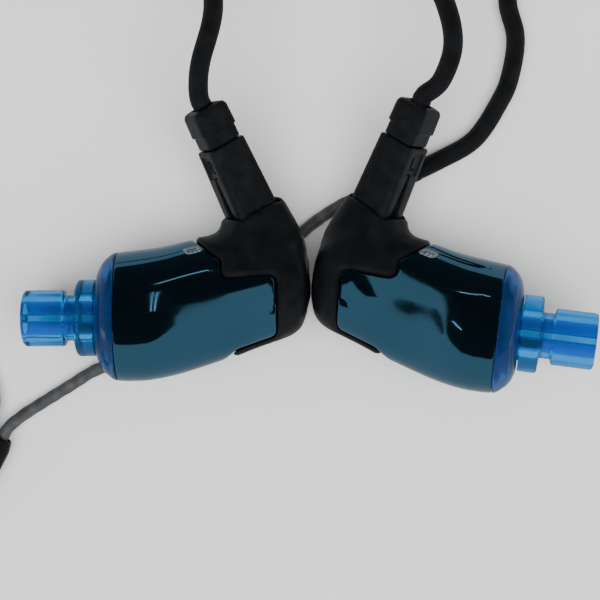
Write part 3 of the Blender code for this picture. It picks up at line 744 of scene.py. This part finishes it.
# outlines and lamps on the layout; a lamp is (start, end, width)
SHEET_EDGE = (
    (-150.0, -17.0), (-22.3, -15.6), (-17.0, -16.0), (-11.6, -15.1), (-9.8, -12.6),
    (-9.0, -9.0), (-8.9, -5.9), (-9.5, -2.4), (-9.8, 1.2), (-9.1, 2.9), (-6.3, 4.3),
    (-2.9, 6.0), (-1.9, 3.2), (-1.0, 0.8), (0.6, 1.8), (0.9, 20.0), (5.6, 20.0),
    (5.0, 10.3), (4.2, 6.5), (3.0, 2.0), (2.5, -0.1), (0.9, -5.5), (0.3, -9.0),
    (0.4, -12.0), (1.4, -17.0), (5.1, -18.5), (11.2, -19.4), (150.0, -19.6),
    (150.0, 300.0), (-150.0, 300.0),
)
SHEET_OVAL = (
    (2.4, 3.4), (1.7, 1.6), (0.7, -2.2), (0.0, -5.2), (-0.5, -7.2), (0.4, -5.6),
    (1.5, -2.2), (2.2, 1.0),
)
LAMPS = (
    ((-14.3, 14.5), (-12.0, 17.2), 0.3),
    ((-13.9, 9.3), (-13.1, 0.8), 0.12),
    ((-13.2, 9.0), (-12.5, 0.8), 0.12),
    ((8.3, 14.9), (14.0, 16.4), 0.4),
    ((4.3, 0.4), (5.7, -2.3), 0.25),
)


def make_camera():
    camera = bpy.data.cameras.new("camera")
    camera.lens = LENS
    camera.sensor_width = SENSOR
    camera.clip_start, camera.clip_end = CLIP_METRES
    made = link(bpy.data.objects.new("camera", camera))
    made.location = on_layout(*VIEW_AT) * MM
    bpy.context.scene.camera = made


def make_floor():
    bm = bmesh.new()
    bmesh.ops.create_grid(bm, x_segments=2, y_segments=2, size=FLOOR_SIZE)
    floor = bm_object("floor", bm, Matrix.Scale(MM, 4))
    floor.data.materials.append(MATERIALS["ground"])
    floor.visible_glossy = False


def make_sky():
    world = bpy.data.worlds.new("studio")
    bpy.context.scene.world = world
    world.use_nodes = True
    background = world.node_tree.nodes["Background"]
    background.inputs["Color"].default_value = (*SKY, 1.0)
    background.inputs["Strength"].default_value = SKY_STRENGTH


def area_light(name, at, size, power):
    """A rectangular light that looks at the middle of the pair."""
    light = bpy.data.lights.new(name, "AREA")
    light.shape = "RECTANGLE"
    light.size, light.size_y = size
    light.energy = power
    made = link(bpy.data.objects.new(name, light))
    made.location = at
    made.rotation_euler = (-Vector(at)).to_track_quat("-Z", "Y").to_euler()
    return made


def sheet(name, outline, height, glow=0.0):
    """A sheet seen only in the casings' reflections: dark, or a lamp when it glows."""
    bm = bmesh.new()
    bm.faces.new([bm.verts.new(on_layout(x, y, height) * MM) for x, y in outline])
    made = bm_object(name, bm, Matrix.Identity(4))
    surface = bpy.data.materials.new(name)
    surface.use_nodes = True
    shader = surface.node_tree.nodes["Principled BSDF"]
    shader.inputs["Base Color"].default_value = (SHEET_SHADE, SHEET_SHADE, SHEET_SHADE, 1.0)
    shader.inputs["Specular IOR Level"].default_value = 0.0
    shader.inputs["Emission Color"].default_value = (1.0, 1.0, 1.0, 1.0)
    shader.inputs["Emission Strength"].default_value = glow
    made.data.materials.append(surface)
    made.visible_camera = False
    made.visible_shadow = False
    made.visible_diffuse = False
    made.visible_transmission = False


def lamp(name, start, end, width):
    """A thin strip lamp from start to end, just under the sheets."""
    start, end = Vector(start), Vector(end)
    along = (end - start).normalized()
    across = Vector((-along.y, along.x)) * width / 2
    corners = (start + across, end + across, end - across, start - across)
    sheet(name, [tuple(c) for c in corners], SHEET_HEIGHT - LAMP_DROP, LAMP_GLOW)


def make_light():
    lights = {name: area_light(name, **told) for name, told in AREA_LIGHTS.items()}
    lights["overhead"].visible_glossy = False
    lights["overhead"].visible_transmission = False
    sheet("dark sheet", SHEET_EDGE, SHEET_HEIGHT)
    sheet("dark oval", SHEET_OVAL, SHEET_HEIGHT)
    for k, (start, end, width) in enumerate(LAMPS):
        lamp(f"strip lamp {k}", start, end, width)


make_camera()
make_floor()
make_sky()
make_light()

# ------------ cables

TWIST_PITCH = 3.6
TWIST_DEPTH = 0.03
STRANDS = 2
SPACING = {"sleeve": 0.5, "thin": 0.35, "main": 0.6}
SLEEVE_SIDES = 28
THIN_SIDES = 16
SLEEVE_TAPER = 1.6
SLEEVE_TIP = 0.76
THIN_INSIDE = (2.4, 0.3)
BENDS_BETWEEN = {"left": ((9.3, 15.0), (-4.0, 5.2)), "right": ((-42.9, 38.0), (-52.4, 19.6))}
BRANCH_TRACKS = {"left": (18.7, 19.8), "right": (17.25, 17.9)}
BRANCH_TURN_STEPS = 20
MAIN_START = 70.0
MAIN_STEPS = 18
MAIN_LAYERS = (
    (1.85, (14.0, 12.0, 10.0, 8.0)),
    (3.87, (8.0, 10.0, 12.0, 14.0)),
    (5.88, (14.0, 12.0, 10.0)),
)
MAIN_INNERMOST = (8.0, 5.88)
SHIFT_FROM = 0.78
FROM_SPLITTER = (
    (162.5, 18.8, 5.0), (150.0, 19.4, 4.9), (132.0, 18.4, 4.5), (112.0, 16.9, 3.6),
    (92.0, 15.6, 2.6),
)
TO_JACK = (
    (-72.0, 8.2, 6.0), (-88.0, 9.2, 6.9), (-104.0, 11.2, 7.75), (-116.0, 13.9, 7.95),
    (-125.0, 17.2, 8.0), (-131.5, 20.9, 8.3),
)
RELIEF_END = -27.3
BEHIND_JACK = ((-1.2, 8.3, -1.2), (-3.8, 5.8, -0.7), (-3.9, 2.6, -0.3), (-1.8, 0.4, 0.0))


def plug_route(side, route):
    """A sleeve's way, starting inside its plug's cable entry."""
    out = [plug_place(side) @ Vector((0.0, 0.0, PLUG_TOP + rise)) / MM for rise in (0.05, 0.9)]
    return [*out, *(on_layout(*point) for point in route)]


def on_coil(degrees, radius, z):
    angle = math.radians(degrees)
    x = COIL_MIDDLE[0] + radius * math.cos(angle)
    return Vector((x, COIL_MIDDLE[1] + radius * math.sin(angle), z))


def branch_route(side):
    """The thin cable's way from the sleeve through the slider and round the coil."""
    strand = SIDES.index(side)
    along = Vector((*SLIDER_ALONG, 0.0)).normalized()
    across = Vector((along.y, -along.x, 0.0))
    start = Vector((*SLIDER_ENTRY, SLIDER_HALF[1])) + across * strand * 2 * STRAND_OFFSET
    reach = (0.0, 5.0, 10.0, SLIDER_LENGTH + SLIDER_TRAVEL + 0.8)
    route = [Vector(p) for p in (LEFT_BRANCH, RIGHT_BRANCH)[strand][1:]]
    route += [start + along * r for r in reach]
    for degrees, radius in COIL_ENTRY:
        route.append(on_coil(degrees, radius + (1 - strand) * STRANDS_APART, BRANCH_Z))
    own, last = BRANCH_TRACKS[side]
    turns = [(-95.0, own + 0.9, BRANCH_Z)]
    turns += [(-110.0 - 15.0 * k, own, BRANCH_Z) for k in range(BRANCH_TURN_STEPS)]
    turns += [(-415.0, own, 1.3), (-440.0, own, 2.3), (-465.0, own, 2.7), (-490.0, own + 0.2, 3.9)]
    turns += [(-508.0, (own + last) / 2 + 0.1, 4.8), (-519.0, last, 5.0)]
    route += [on_coil(*turn) for turn in turns]
    return [on_layout(*p) for p in route]


def jack_matrix():
    return placed(JACK_AT, Matrix.Rotation(math.radians(JACK_TURN), 4, "Z") @ Z_TO_X)


def main_route():
    """The main cable: from the splitter, round the coil in three layers, to the jack."""
    tracks = [(radius, z) for z, radii in MAIN_LAYERS for radius in radii]
    route = [on_coil(*point) for point in FROM_SPLITTER]
    for turn, (radius, z) in enumerate(tracks):
        next_radius, next_z = [*tracks, MAIN_INNERMOST][turn + 1]
        for step in range(MAIN_STEPS):
            share = step / MAIN_STEPS
            shift = smooth_step((share - SHIFT_FROM) / (1 - SHIFT_FROM))
            at_radius, at_z = radius + (next_radius - radius) * shift, z + (next_z - z) * shift
            route.append(on_coil(MAIN_START - 360.0 * (turn + share), at_radius, at_z))
    route += [on_coil(MAIN_START - 20.0 * k, *MAIN_INNERMOST) for k in range(7)]
    route += [on_coil(*point) for point in TO_JACK]
    route = [on_layout(*p) for p in route]
    jack = jack_matrix()
    for behind, out, down in BEHIND_JACK:
        at = jack @ Vector((0.0, -out, RELIEF_END + behind)) / MM
        route.append(at + Vector((0.0, 0.0, down)))
    route += [jack @ Vector((0.0, 0.0, RELIEF_END + ahead)) / MM for ahead in (-1.2, 1.5)]
    return route


def thin_radius(travelled, angles):
    """The radius of a cable of twisted strands under one skin."""
    turn = angles - 2 * np.pi * travelled / (TWIST_PITCH * MM)
    return BRANCH_RADIUS * MM * (1 - TWIST_DEPTH + TWIST_DEPTH * np.cos(STRANDS * turn))


def sleeve_radius(length):
    """The sleeve's radius along it: drawn in a little at its far end."""

    def radius_at(travelled, angles):
        taper = smooth_step((length - travelled) / (SLEEVE_TAPER * MM))
        return SLEEVE_RADIUS * MM * (SLEEVE_TIP + (1 - SLEEVE_TIP) * taper) + 0 * angles

    return radius_at


def make_branch(side, route):
    """One side's sleeve and the thin cable that leaves it, with their paths."""
    path = smooth_route(plug_route(side, route), SPACING["sleeve"]) * MM
    hook = tube_mesh(side + "_hook_sleeve", path, sleeve_radius(length_of(path)), SLEEVE_SIDES)
    dress(hook, MATERIALS["sleeve"], side + "_plug_body", [side + "_ear_hook"])
    end = Vector(path[-1]) / MM
    back = (Vector(path[-2]) / MM - end).normalized()
    inside = [end + back * reach for reach in THIN_INSIDE]
    thin_path = smooth_route([*inside, *branch_route(side)], SPACING["thin"]) * MM
    thin = tube_mesh(side + "_thin_cable", thin_path, thin_radius, THIN_SIDES)
    dress(thin, MATERIALS["cable"], replaces=[side + "_branch_cable", "branch_coil"])
    return {"hook": hook, "hook_path": path, "thin": thin, "thin_path": thin_path, "end": end * MM}


def make_cables():
    made = {"left": make_branch("left", LEFT_SLEEVE), "right": make_branch("right", RIGHT_SLEEVE)}
    for side, ends in BENDS_BETWEEN.items():
        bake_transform(made[side]["thin"])
    made["main_path"] = smooth_route(main_route(), SPACING["main"]) * MM
    made["main"] = curve_cord("main_cable", made["main_path"], MAIN_RADIUS * MM)
    dress(made["main"], MATERIALS["sleeve"], ROOT, ["main_coil"])
    return made


CABLES = make_cables()

# ------------ the monitors' casings

CASING_STEP = 0.15
CASING_BOX = ((-0.9, -8.1, -7.5), (24.3, 15.6, 7.8))
GROOVE = 0.06
LAP = 0.9
LAP_DEPTH = 0.4
LAP_PLAY = 0.3
LAP_GAP = 0.12
SEAM_HALF = 0.02
SEAM_ROUND = 0.05
BEVEL_WIDE = 0.55
BEVEL_DEEP = 0.42
BOOT_FRONT = 17.0
NOZZLE_HOLE = 3.15
TOWER_POWER = 2.8
TOWER_FILLET = 2.0
TOWER_ROUND = 0.7
# the side's letter as closed outlines in a square about one unit high
LETTERS = {
    "left": [
        [(-0.32, 0.5), (-0.14, 0.5), (-0.14, -0.34), (0.34, -0.34), (0.34, -0.5), (-0.32, -0.5)],
    ],
    "right": [
        [
            (-0.36, 0.5), (0.08, 0.5), (0.26, 0.43), (0.34, 0.27), (0.31, 0.1), (0.16, -0.02),
            (0.38, -0.5), (0.18, -0.5), (-0.01, -0.06), (-0.19, -0.06), (-0.19, -0.5),
            (-0.36, -0.5),
        ],
        [(-0.19, 0.35), (-0.19, 0.09), (0.05, 0.09), (0.15, 0.15), (0.16, 0.28), (0.06, 0.35)],
    ],
}


def plug_axes(x, y, z):
    """The casing's grid in the plug's own directions."""
    turned = np.array(plug_frame().inverted())
    return [row[0] * x + row[1] * y + row[2] * z + row[3] for row in turned[:3]]


def lofted_field(table, power, x, y, z):
    """Distance to a loft along z with superellipse sections of (height, half x, half y)."""
    heights, half_x, half_y = np.array(table).T
    wide, deep = np.interp(z, heights, half_x), np.interp(z, heights, half_y)
    ratio = (np.abs(x / wide) ** power + np.abs(y / deep) ** power + 1e-9) ** (1 / power)
    return (ratio - 1) * np.minimum(wide, deep)


def casing_grids():
    x, y, z = grid(*CASING_BOX, CASING_STEP)
    casing = casing_field(x, y, z, CASING_STEP)
    edge = outline_field([rounded_outline(SHELL_EDGE)], x, y)
    return (x, y, z), casing, edge


def shell_field(grids):
    (x, _, _), casing, edge = grids
    outer = upper(casing, edge + GROOVE / 2, 0.16)
    outer = upper(outer, x - SEAM_X + SEAM_HALF, SEAM_ROUND)
    wall = np.where(edge > -LAP - LAP_PLAY, LAP_DEPTH, WALL)
    return np.maximum(outer, -(casing + wall))


def cap_field(grids):
    (x, y, z), casing, _ = grids
    outer = upper(casing, SEAM_X + SEAM_HALF - x, SEAM_ROUND)
    outer = upper(outer, NOZZLE_HOLE - np.hypot(y, z), 0.2)
    return np.maximum(outer, -(casing + WALL))


def boot_field(grids):
    """The rear boot: proud of the shell, bevelled along the seam, with the socket tower on it."""
    (x, y, z), casing, edge = grids
    across, deep, out = plug_axes(x, y, z)
    tower = lofted_field(TOWER, TOWER_POWER, across, deep, out)
    tower = upper(tower, out, TOWER_ROUND)
    tower = np.maximum(tower, TOWER[0][0] - out)
    fall = BEVEL_DEEP / BEVEL_WIDE
    bevel = casing - BOOT_PROUD + (BEVEL_WIDE - edge) * fall
    outer = upper(casing - BOOT_PROUD, bevel / math.hypot(1.0, fall), 0.08)
    outer = lower(outer, tower, TOWER_FILLET)
    outer = upper(outer, GROOVE / 2 - edge, 0.1)
    lap = np.maximum(casing + LAP_DEPTH + LAP_GAP, -edge - LAP)
    outer = np.minimum(outer, lap)
    outer = np.maximum(outer, x - BOOT_FRONT)
    outer = np.maximum(outer, -(casing + WALL))
    hole = lofted_field(((-9.0, *TOWER_HOLE), (1.0, *TOWER_HOLE)), PLUG_POWER, across, deep, out)
    return upper(outer, -hole, 0.3)


def make_casings():
    grids = casing_grids()
    pieces = (
        ("shell", shell_field, "shell"),
        ("rear_boot", boot_field, "boot"),
        ("front_cap", cap_field, "cap"),
    )
    for node, field, look in pieces:
        net = skin(field(grids), CASING_BOX[0], CASING_STEP)
        for side in SIDES:
            made = mesh_of(f"{side}_{node}_skin", *net, monitor_place(side))
            dress(made, MATERIALS[look], ROOT, [f"{side}_{node}"])


# the mark's middle, and its two sides as seen from the outer face
MARK_AT = (12.4, 7.15)
MARK_ALONG = (-1.7, 0.456)
MARK_DOWN = (-0.717, -0.652)
MARK_ROUND = 0.3
MARK_HALF_THICK = 0.02
MARK_LETTER = 0.6
MARK_STEP = 0.05
MARK_BOX = ((10.8, 6.0, 1.6), (14.0, 8.3, 5.2))


def make_side_mark(side):
    """A pale rounded square printed on the flank with the side's letter left out of it."""
    x, y, z = grid(*MARK_BOX, MARK_STEP)
    casing = casing_field(x, y, z, MARK_STEP)
    (ax, ay), (bx, by) = MARK_ALONG, MARK_DOWN
    span = ax * by - ay * bx
    east, north = x - MARK_AT[0], y - MARK_AT[1]
    along = (east * by - north * bx) / span
    down = (north * ax - east * ay) / span
    plate = upper(np.abs(along) - 0.5, np.abs(down) - 0.5, MARK_ROUND)
    right, up = (down if side == "left" else -down), -along
    letter = outline_field(LETTERS[side], right / MARK_LETTER, up / MARK_LETTER)
    mark = np.broadcast_to(upper(plate, -letter * MARK_LETTER, 0.02), casing.shape)
    layer = np.abs(casing) - MARK_HALF_THICK
    net = skin(np.maximum(mark, layer), MARK_BOX[0], MARK_STEP)
    made = mesh_of(side + "_side_mark", *net, monitor_place(side))
    dress(made, MATERIALS["mark"], ROOT)


NOZZLE_STEP = 0.1
NOZZLE_BOX = ((21.3, -4.7, -4.7), (31.5, 4.7, 4.7))
NOZZLE_OUTLINE = (
    (21.65, -1.0, 0.0), (21.65, 3.0, 0.1), (23.05, 3.0, 0.0), (23.05, 4.15, 0.15),
    (25.1, 4.15, 0.35), (25.2, 2.47, 0.15), (26.35, 2.47, 0.15), (26.5, 3.05, 0.25),
    (30.95, 3.05, 0.4), (30.95, -1.0, 0.0),
)
BORE_RADIUS = 1.85
WEB_HALF = 0.25
DAMPER_Y = -1.02
DAMPER_PROFILE = ((22.9, 0.45), (23.0, 0.55), (24.9, 0.55), (25.0, 0.45))
ROD_SIDES = 24


def nozzle_field(x, y, z):
    """The nozzle's turned outside with a bore on each side of the web."""
    radius = np.hypot(y, z)
    body = outline_field([rounded_outline(NOZZLE_OUTLINE)], x + 0 * radius, radius + 0 * x)
    bores = upper(radius - BORE_RADIUS, WEB_HALF - np.abs(y), 0.3)
    return upper(body, -bores, 0.3)


def make_nozzles():
    net = skin(nozzle_field(*grid(*NOZZLE_BOX, NOZZLE_STEP)), NOZZLE_BOX[0], NOZZLE_STEP)
    for side in SIDES:
        made = mesh_of(side + "_nozzle_skin", *net, monitor_place(side))
        dress(made, MATERIALS["nozzle"], ROOT, [side + "_nozzle"])
        place = monitor_place(side) @ Matrix.Translation((0.0, DAMPER_Y, 0.0)) @ Z_TO_X
        made = bm_object(side + "_damper_rod", turned_rings(DAMPER_PROFILE, ROD_SIDES), place)
        dress(made, MATERIALS["damper"], ROOT, [side + "_damper"])


# ------------ the plugs

PLUG_SHELL = ((-1.6, 2.47, 2.1), (0.6, 2.47, 2.1), (7.7, 2.25, 1.93))
PLUG_HEAD = (
    (7.85, 1.98, 1.68),
    (9.2, 1.96, 1.66),
    (9.35, 2.14, 1.83),
    (11.5, 2.08, 1.78),
    (11.9, 1.88, 1.6),
    (12.1, 1.35, 1.25),
)
SHELL_ENDS = (-1.6, 7.7)
PANEL_MIDDLE = 5.85
PANEL_HALF = (0.95, 1.25)
PANEL_DEPTH = 0.16
WEDGE_MIDDLE = -0.1
WEDGE_TOP = 4.7
WEDGE_DEPTH = 0.55
LETTER_MIDDLE = 5.9
LETTER_SCALE = (1.35, 1.45)
LETTER_DEPTH = 0.36
HEAD_FOOT = 7.85
ENTRY_RADIUS = 1.25
ENTRY_FLOOR = 11.75
NECK_INSET = 0.2
NECK_MIDDLE = 7.9
NECK_HALF = 0.19
PIN_PROFILE = ((-5.6, 0.05), (-5.6, 0.39), (-1.1, 0.39), (-1.1, 0.05))
PIN_ROUND = 0.2
PLUG_STEP = 0.07
PLUG_BOX = ((-2.75, -2.4, -1.9), (2.75, 2.4, 8.0))
HEAD_BOX = ((-2.4, -2.1, 7.6), (2.4, 2.1, 12.4))


def plug_shell_field(side, x, y, z):
    """The plug's shell with the sunken panel, its letter and the wedge groove on one side."""
    body = lofted_field(PLUG_SHELL, PLUG_POWER, x, y, z)
    body = upper(body, z - SHELL_ENDS[1], 0.25)
    body = upper(body, SHELL_ENDS[0] - z, 0.2)
    inward = np.interp(z, [row[0] for row in PLUG_SHELL], [row[1] for row in PLUG_SHELL]) - x
    panel = np.maximum(np.abs(y) - PANEL_HALF[0], np.abs(z - PANEL_MIDDLE) - PANEL_HALF[1]) + 0 * x
    panel = upper(panel, inward - PANEL_DEPTH, 0.05)
    slope = np.clip((5.0 - z) / 5.0, -1, 1)
    wedge = np.abs(y - WEDGE_MIDDLE) - 0.12 - 0.5 * slope
    wedge = np.maximum(np.maximum(wedge, z - WEDGE_TOP), inward - WEDGE_DEPTH)
    right = (y if side == "left" else -y) / LETTER_SCALE[0]
    letter = outline_field(LETTERS[side], right, (z - LETTER_MIDDLE) / LETTER_SCALE[1])
    letter = np.maximum(letter * LETTER_SCALE[0] + 0 * x, inward - LETTER_DEPTH)
    return upper(upper(upper(body, -panel, 0.08), -wedge, 0.1), -letter, 0.05)


def plug_head_field(x, y, z):
    """The plug's head with its cable entry, and the neck that reaches into the shell."""
    loft = lofted_field(PLUG_HEAD, PLUG_POWER, x, y, z)
    head = upper(upper(loft, z - PLUG_TOP, 0.3), HEAD_FOOT - z, 0.1)
    head = upper(head, -np.maximum(np.hypot(x, y) - ENTRY_RADIUS + 0 * z, ENTRY_FLOOR - z), 0.15)
    neck = np.maximum(loft + NECK_INSET, np.abs(z - NECK_MIDDLE) - NECK_HALF)
    return np.minimum(head, neck)


def make_pins(side):
    body = side + "_plug_body"
    for letter, off in (("a", -PIN_OFFSET), ("b", PIN_OFFSET)):
        pin = turned_rings(soft_profile(PIN_PROFILE, PIN_ROUND), ROD_SIDES)
        place = plug_place(side) @ Matrix.Translation((off, 0.0, 0.0))
        made = bm_object(f"{side}_pin_{letter}", pin, place)
        dress(made, MATERIALS["gold"], body, [f"{side}_plug_pin_{letter}"])


def make_plugs():
    axes = grid(*PLUG_BOX, PLUG_STEP)
    head = skin(plug_head_field(*grid(*HEAD_BOX, PLUG_STEP)), HEAD_BOX[0], PLUG_STEP)
    for side in SIDES:
        shell = skin(plug_shell_field(side, *axes), PLUG_BOX[0], PLUG_STEP)
        body = side + "_plug_body"
        for name, net, node in (("skin", shell, "shell"), ("crown", head, "head")):
            made = mesh_of(f"{side}_plug_{name}", *net, plug_place(side))
            dress(made, MATERIALS["plug"], body, [f"{side}_plug_{node}"])
        make_pins(side)


# ------------ splitter, slider, tie and jack

SLIDER_STEP = 0.1
SLIDER_BOX = ((-2.9, -1.9, -4.9), (2.9, 1.9, 4.9))
SLIDER_ENDS = (2.2, 1.35)
SLIDER_SLOPE = 1.5
SPLITTER_SIZE = (5.2, 12.0, 3.6)
SPLITTER_ROUND = 1.1
SPLITTER_GAP = 0.3
MAIN_COIL_RADIUS = 15.0
BRANCH_COIL_TOP = 2.9
TIE_STEP = 0.1
TIE_BOX = ((-5.2, -1.9, -4.2), (5.2, 1.9, 4.2))
TIE_OPENING = (4.3, 3.35)
TIE_THICK = 0.5
TIE_HALF_WIDTH = 1.5
TIE_ON_COIL = (-60.0, 11.0, 3.85)
JACK_SIDES = 40
JACK_ROUND = 0.12
JACK_CORE = 0.3
GRIP_RADIUS = 3.0
TIP_PROFILE = (
    (11.3, JACK_CORE), (11.3, 1.75), (11.9, 1.75), (12.5, 1.3), (13.1, 1.7), (14.2, 0.5),
    (14.2, 0.05),
)


def make_slider():
    along = Vector((*SLIDER_ALONG, 0.0)).normalized()
    across = Vector((along.y, -along.x, 0.0))
    half = SLIDER_LENGTH / 2
    middle = Vector((*SLIDER_ENTRY, SLIDER_HALF[1])) + across * STRAND_OFFSET
    middle += along * (0.3 + half)
    turn = Matrix((across, along.cross(across), along)).transposed().to_4x4()
    x, y, z = grid(*SLIDER_BOX, SLIDER_STEP)
    table = (
        (-half, *SLIDER_ENDS),
        (-half + SLIDER_SLOPE, *SLIDER_HALF),
        (half - SLIDER_SLOPE, *SLIDER_HALF),
        (half, *SLIDER_ENDS),
    )
    body = lofted_field(table, 3.0, x, y, z)
    body = upper(body, np.abs(z) - half, 0.6)
    bores = np.hypot(np.abs(x) - STRAND_OFFSET, y) - SLIDER_BORE
    body = upper(body, -bores, 0.2)
    waist = np.hypot(np.abs(y) - 2.6 + 0 * x, z / 1.6) - 1.25
    body = upper(body, -waist, 0.2)
    net = skin(body, SLIDER_BOX[0], SLIDER_STEP)
    made = mesh_of("chin_slider_skin", *net, placed(middle, turn))
    dress(made, MATERIALS["boot"], "slider_body", ["chin_slider"])


def make_splitter():
    """A rounded block beside the main coil, clear of the branch coil under it."""
    bm = bmesh.new()
    bmesh.ops.create_cube(bm, size=1.0)
    bmesh.ops.scale(bm, vec=SPLITTER_SIZE, verts=bm.verts)
    edges = bm.edges[:]
    bmesh.ops.bevel(bm, geom=edges, offset=SPLITTER_ROUND, segments=5, affect="EDGES", profile=0.5)
    x = COIL_MIDDLE[0] - MAIN_COIL_RADIUS - SPLITTER_GAP - SPLITTER_SIZE[0] / 2
    z = BRANCH_COIL_TOP + SPLITTER_GAP + SPLITTER_SIZE[2] / 2
    place = placed((x, COIL_MIDDLE[1], z), Matrix.Identity(4))
    made = bm_object("splitter_skin", bm, place)
    return dress(made, MATERIALS["boot"], ROOT, ["y_splitter"])


def make_tie():
    """A band round the coil's turns at one place."""
    x, y, z = grid(*TIE_BOX, TIE_STEP)
    past_x, past_z = np.abs(x) - TIE_OPENING[0], np.abs(z) - TIE_OPENING[1]
    strap = upper(past_x - TIE_THICK, past_z - TIE_THICK, 0.9)
    strap = upper(strap + 0 * y, np.abs(y) - TIE_HALF_WIDTH + 0 * x, 0.3)
    strap = np.maximum(strap, -np.maximum(past_x, past_z))
    degrees, out, height = TIE_ON_COIL
    turn = Matrix.Rotation(math.radians(degrees), 4, "Z") @ Matrix.Translation((out, 0.0, 0.0))
    place = placed((*COIL_MIDDLE, height), turn)
    made = mesh_of("coil_tie", *skin(strap, TIE_BOX[0], TIE_STEP), place)
    return dress(made, MATERIALS["sleeve"], ROOT, ["cable_tie"])


def grip_profile():
    """The jack's body with nine turned grooves."""
    profile = [(-17.0, JACK_CORE), (-17.0, 2.75), (-16.4, GRIP_RADIUS)]
    floor = GRIP_RADIUS - 0.18
    for k in range(9):
        start = -14.8 + 1.3 * k
        profile += [(start, GRIP_RADIUS), (start + 0.15, floor)]
        profile += [(start + 0.45, floor), (start + 0.6, GRIP_RADIUS)]
    return [*profile, (-2.0, GRIP_RADIUS), (-1.0, GRIP_RADIUS), (-0.6, 2.7), (-0.6, JACK_CORE)]


def relief_profile():
    """The strain relief: seven ribs that grow towards the jack."""
    profile = [(RELIEF_END, 1.05), (RELIEF_END, 1.35)]
    for k in range(7):
        start, wide = -26.4 + 1.25 * k, 1.45 + 0.1 * k
        profile += [(start, wide), (start + 0.05, wide - 0.28)]
        profile += [(start + 0.45, wide - 0.28), (start + 0.5, wide)]
    return [*profile, (-17.3, 2.3), (-17.3, JACK_CORE)]


def ring_profile(start, end, radius):
    return [(start, JACK_CORE), (start, radius), (end, radius), (end, JACK_CORE)]


def make_jack():
    barrel = [(-0.3, JACK_CORE), (-0.3, 2.4), (0.5, 2.4), *ring_profile(0.5, 8.0, 1.75)[1:]]
    pieces = (
        ("relief", "jack_strain_relief", "sleeve", "cable_sleeve", relief_profile()),
        ("grip", "jack_body", "boot", "plug_plastic", grip_profile()),
        ("barrel", "jack_sleeve", "gold", "gold_contact", barrel),
        ("washer_a", "jack_insulator_a", "boot", "insulator", ring_profile(8.1, 8.8, 1.7)),
        ("band", "jack_ring", "gold", "gold_contact", ring_profile(8.9, 10.4, 1.75)),
        ("washer_b", "jack_insulator_b", "boot", "insulator", ring_profile(10.5, 11.2, 1.7)),
        ("point", "jack_tip", "gold", "gold_contact", TIP_PROFILE),
    )
    made = []
    for name, node, look, slot, profile in pieces:
        rings = turned_rings(soft_profile(profile, JACK_ROUND), JACK_SIDES)
        piece = bm_object("jack_" + name, rings, jack_matrix())
        made.append(dress(piece, MATERIALS[look], ROOT, [node]))
    return made


END_RADIUS = 1.12
END_TAPER = 0.3
END_TAPER_SHARE = 0.3


def end_radius(length):
    """The end ring's radius along it, tapered over its last stretch."""

    def radius_at(travelled, angles):
        share = np.clip((travelled / length - 1) / END_TAPER_SHARE + 1, 0, 1)
        return (END_RADIUS - END_TAPER * share) * MM + 0 * angles

    return radius_at


def make_sleeve_end(side):
    """The moulded ring that closes a sleeve where the thin cable leaves it."""
    tip = CABLES[side]["hook_path"][-6:] / MM
    ahead = (Vector(tip[-1]) - Vector(tip[-3])).normalized()
    line = np.array([*tip, Vector(tip[-1]) + ahead * 0.25]) * MM
    ring = tube_mesh(side + "_sleeve_end", line, end_radius(length_of(line)), SLEEVE_SIDES)
    return dress(ring, MATERIALS["boot"], side + "_plug_body")


make_casings()
for which in SIDES:
    make_side_mark(which)
make_nozzles()
make_plugs()
make_slider()
splitter_piece = make_splitter()
tie_piece = make_tie()
jack_pieces = make_jack()
sleeve_ends = {which: make_sleeve_end(which) for which in SIDES}

# ------------ the inner parts' finish

INNER = {
    "low_driver": "can",
    "mid_driver": "can",
    "high_driver": "can",
    "crossover_board": "board",
    "low_sound_tube": "tube",
    "high_sound_tube": "tube",
    "socket": "plug",
}
for which in SIDES:
    for part, look in INNER.items():
        node = bpy.data.objects[f"{which}_{part}"]
        for material_slot in node.material_slots:
            material_slot.material = MATERIALS[look]
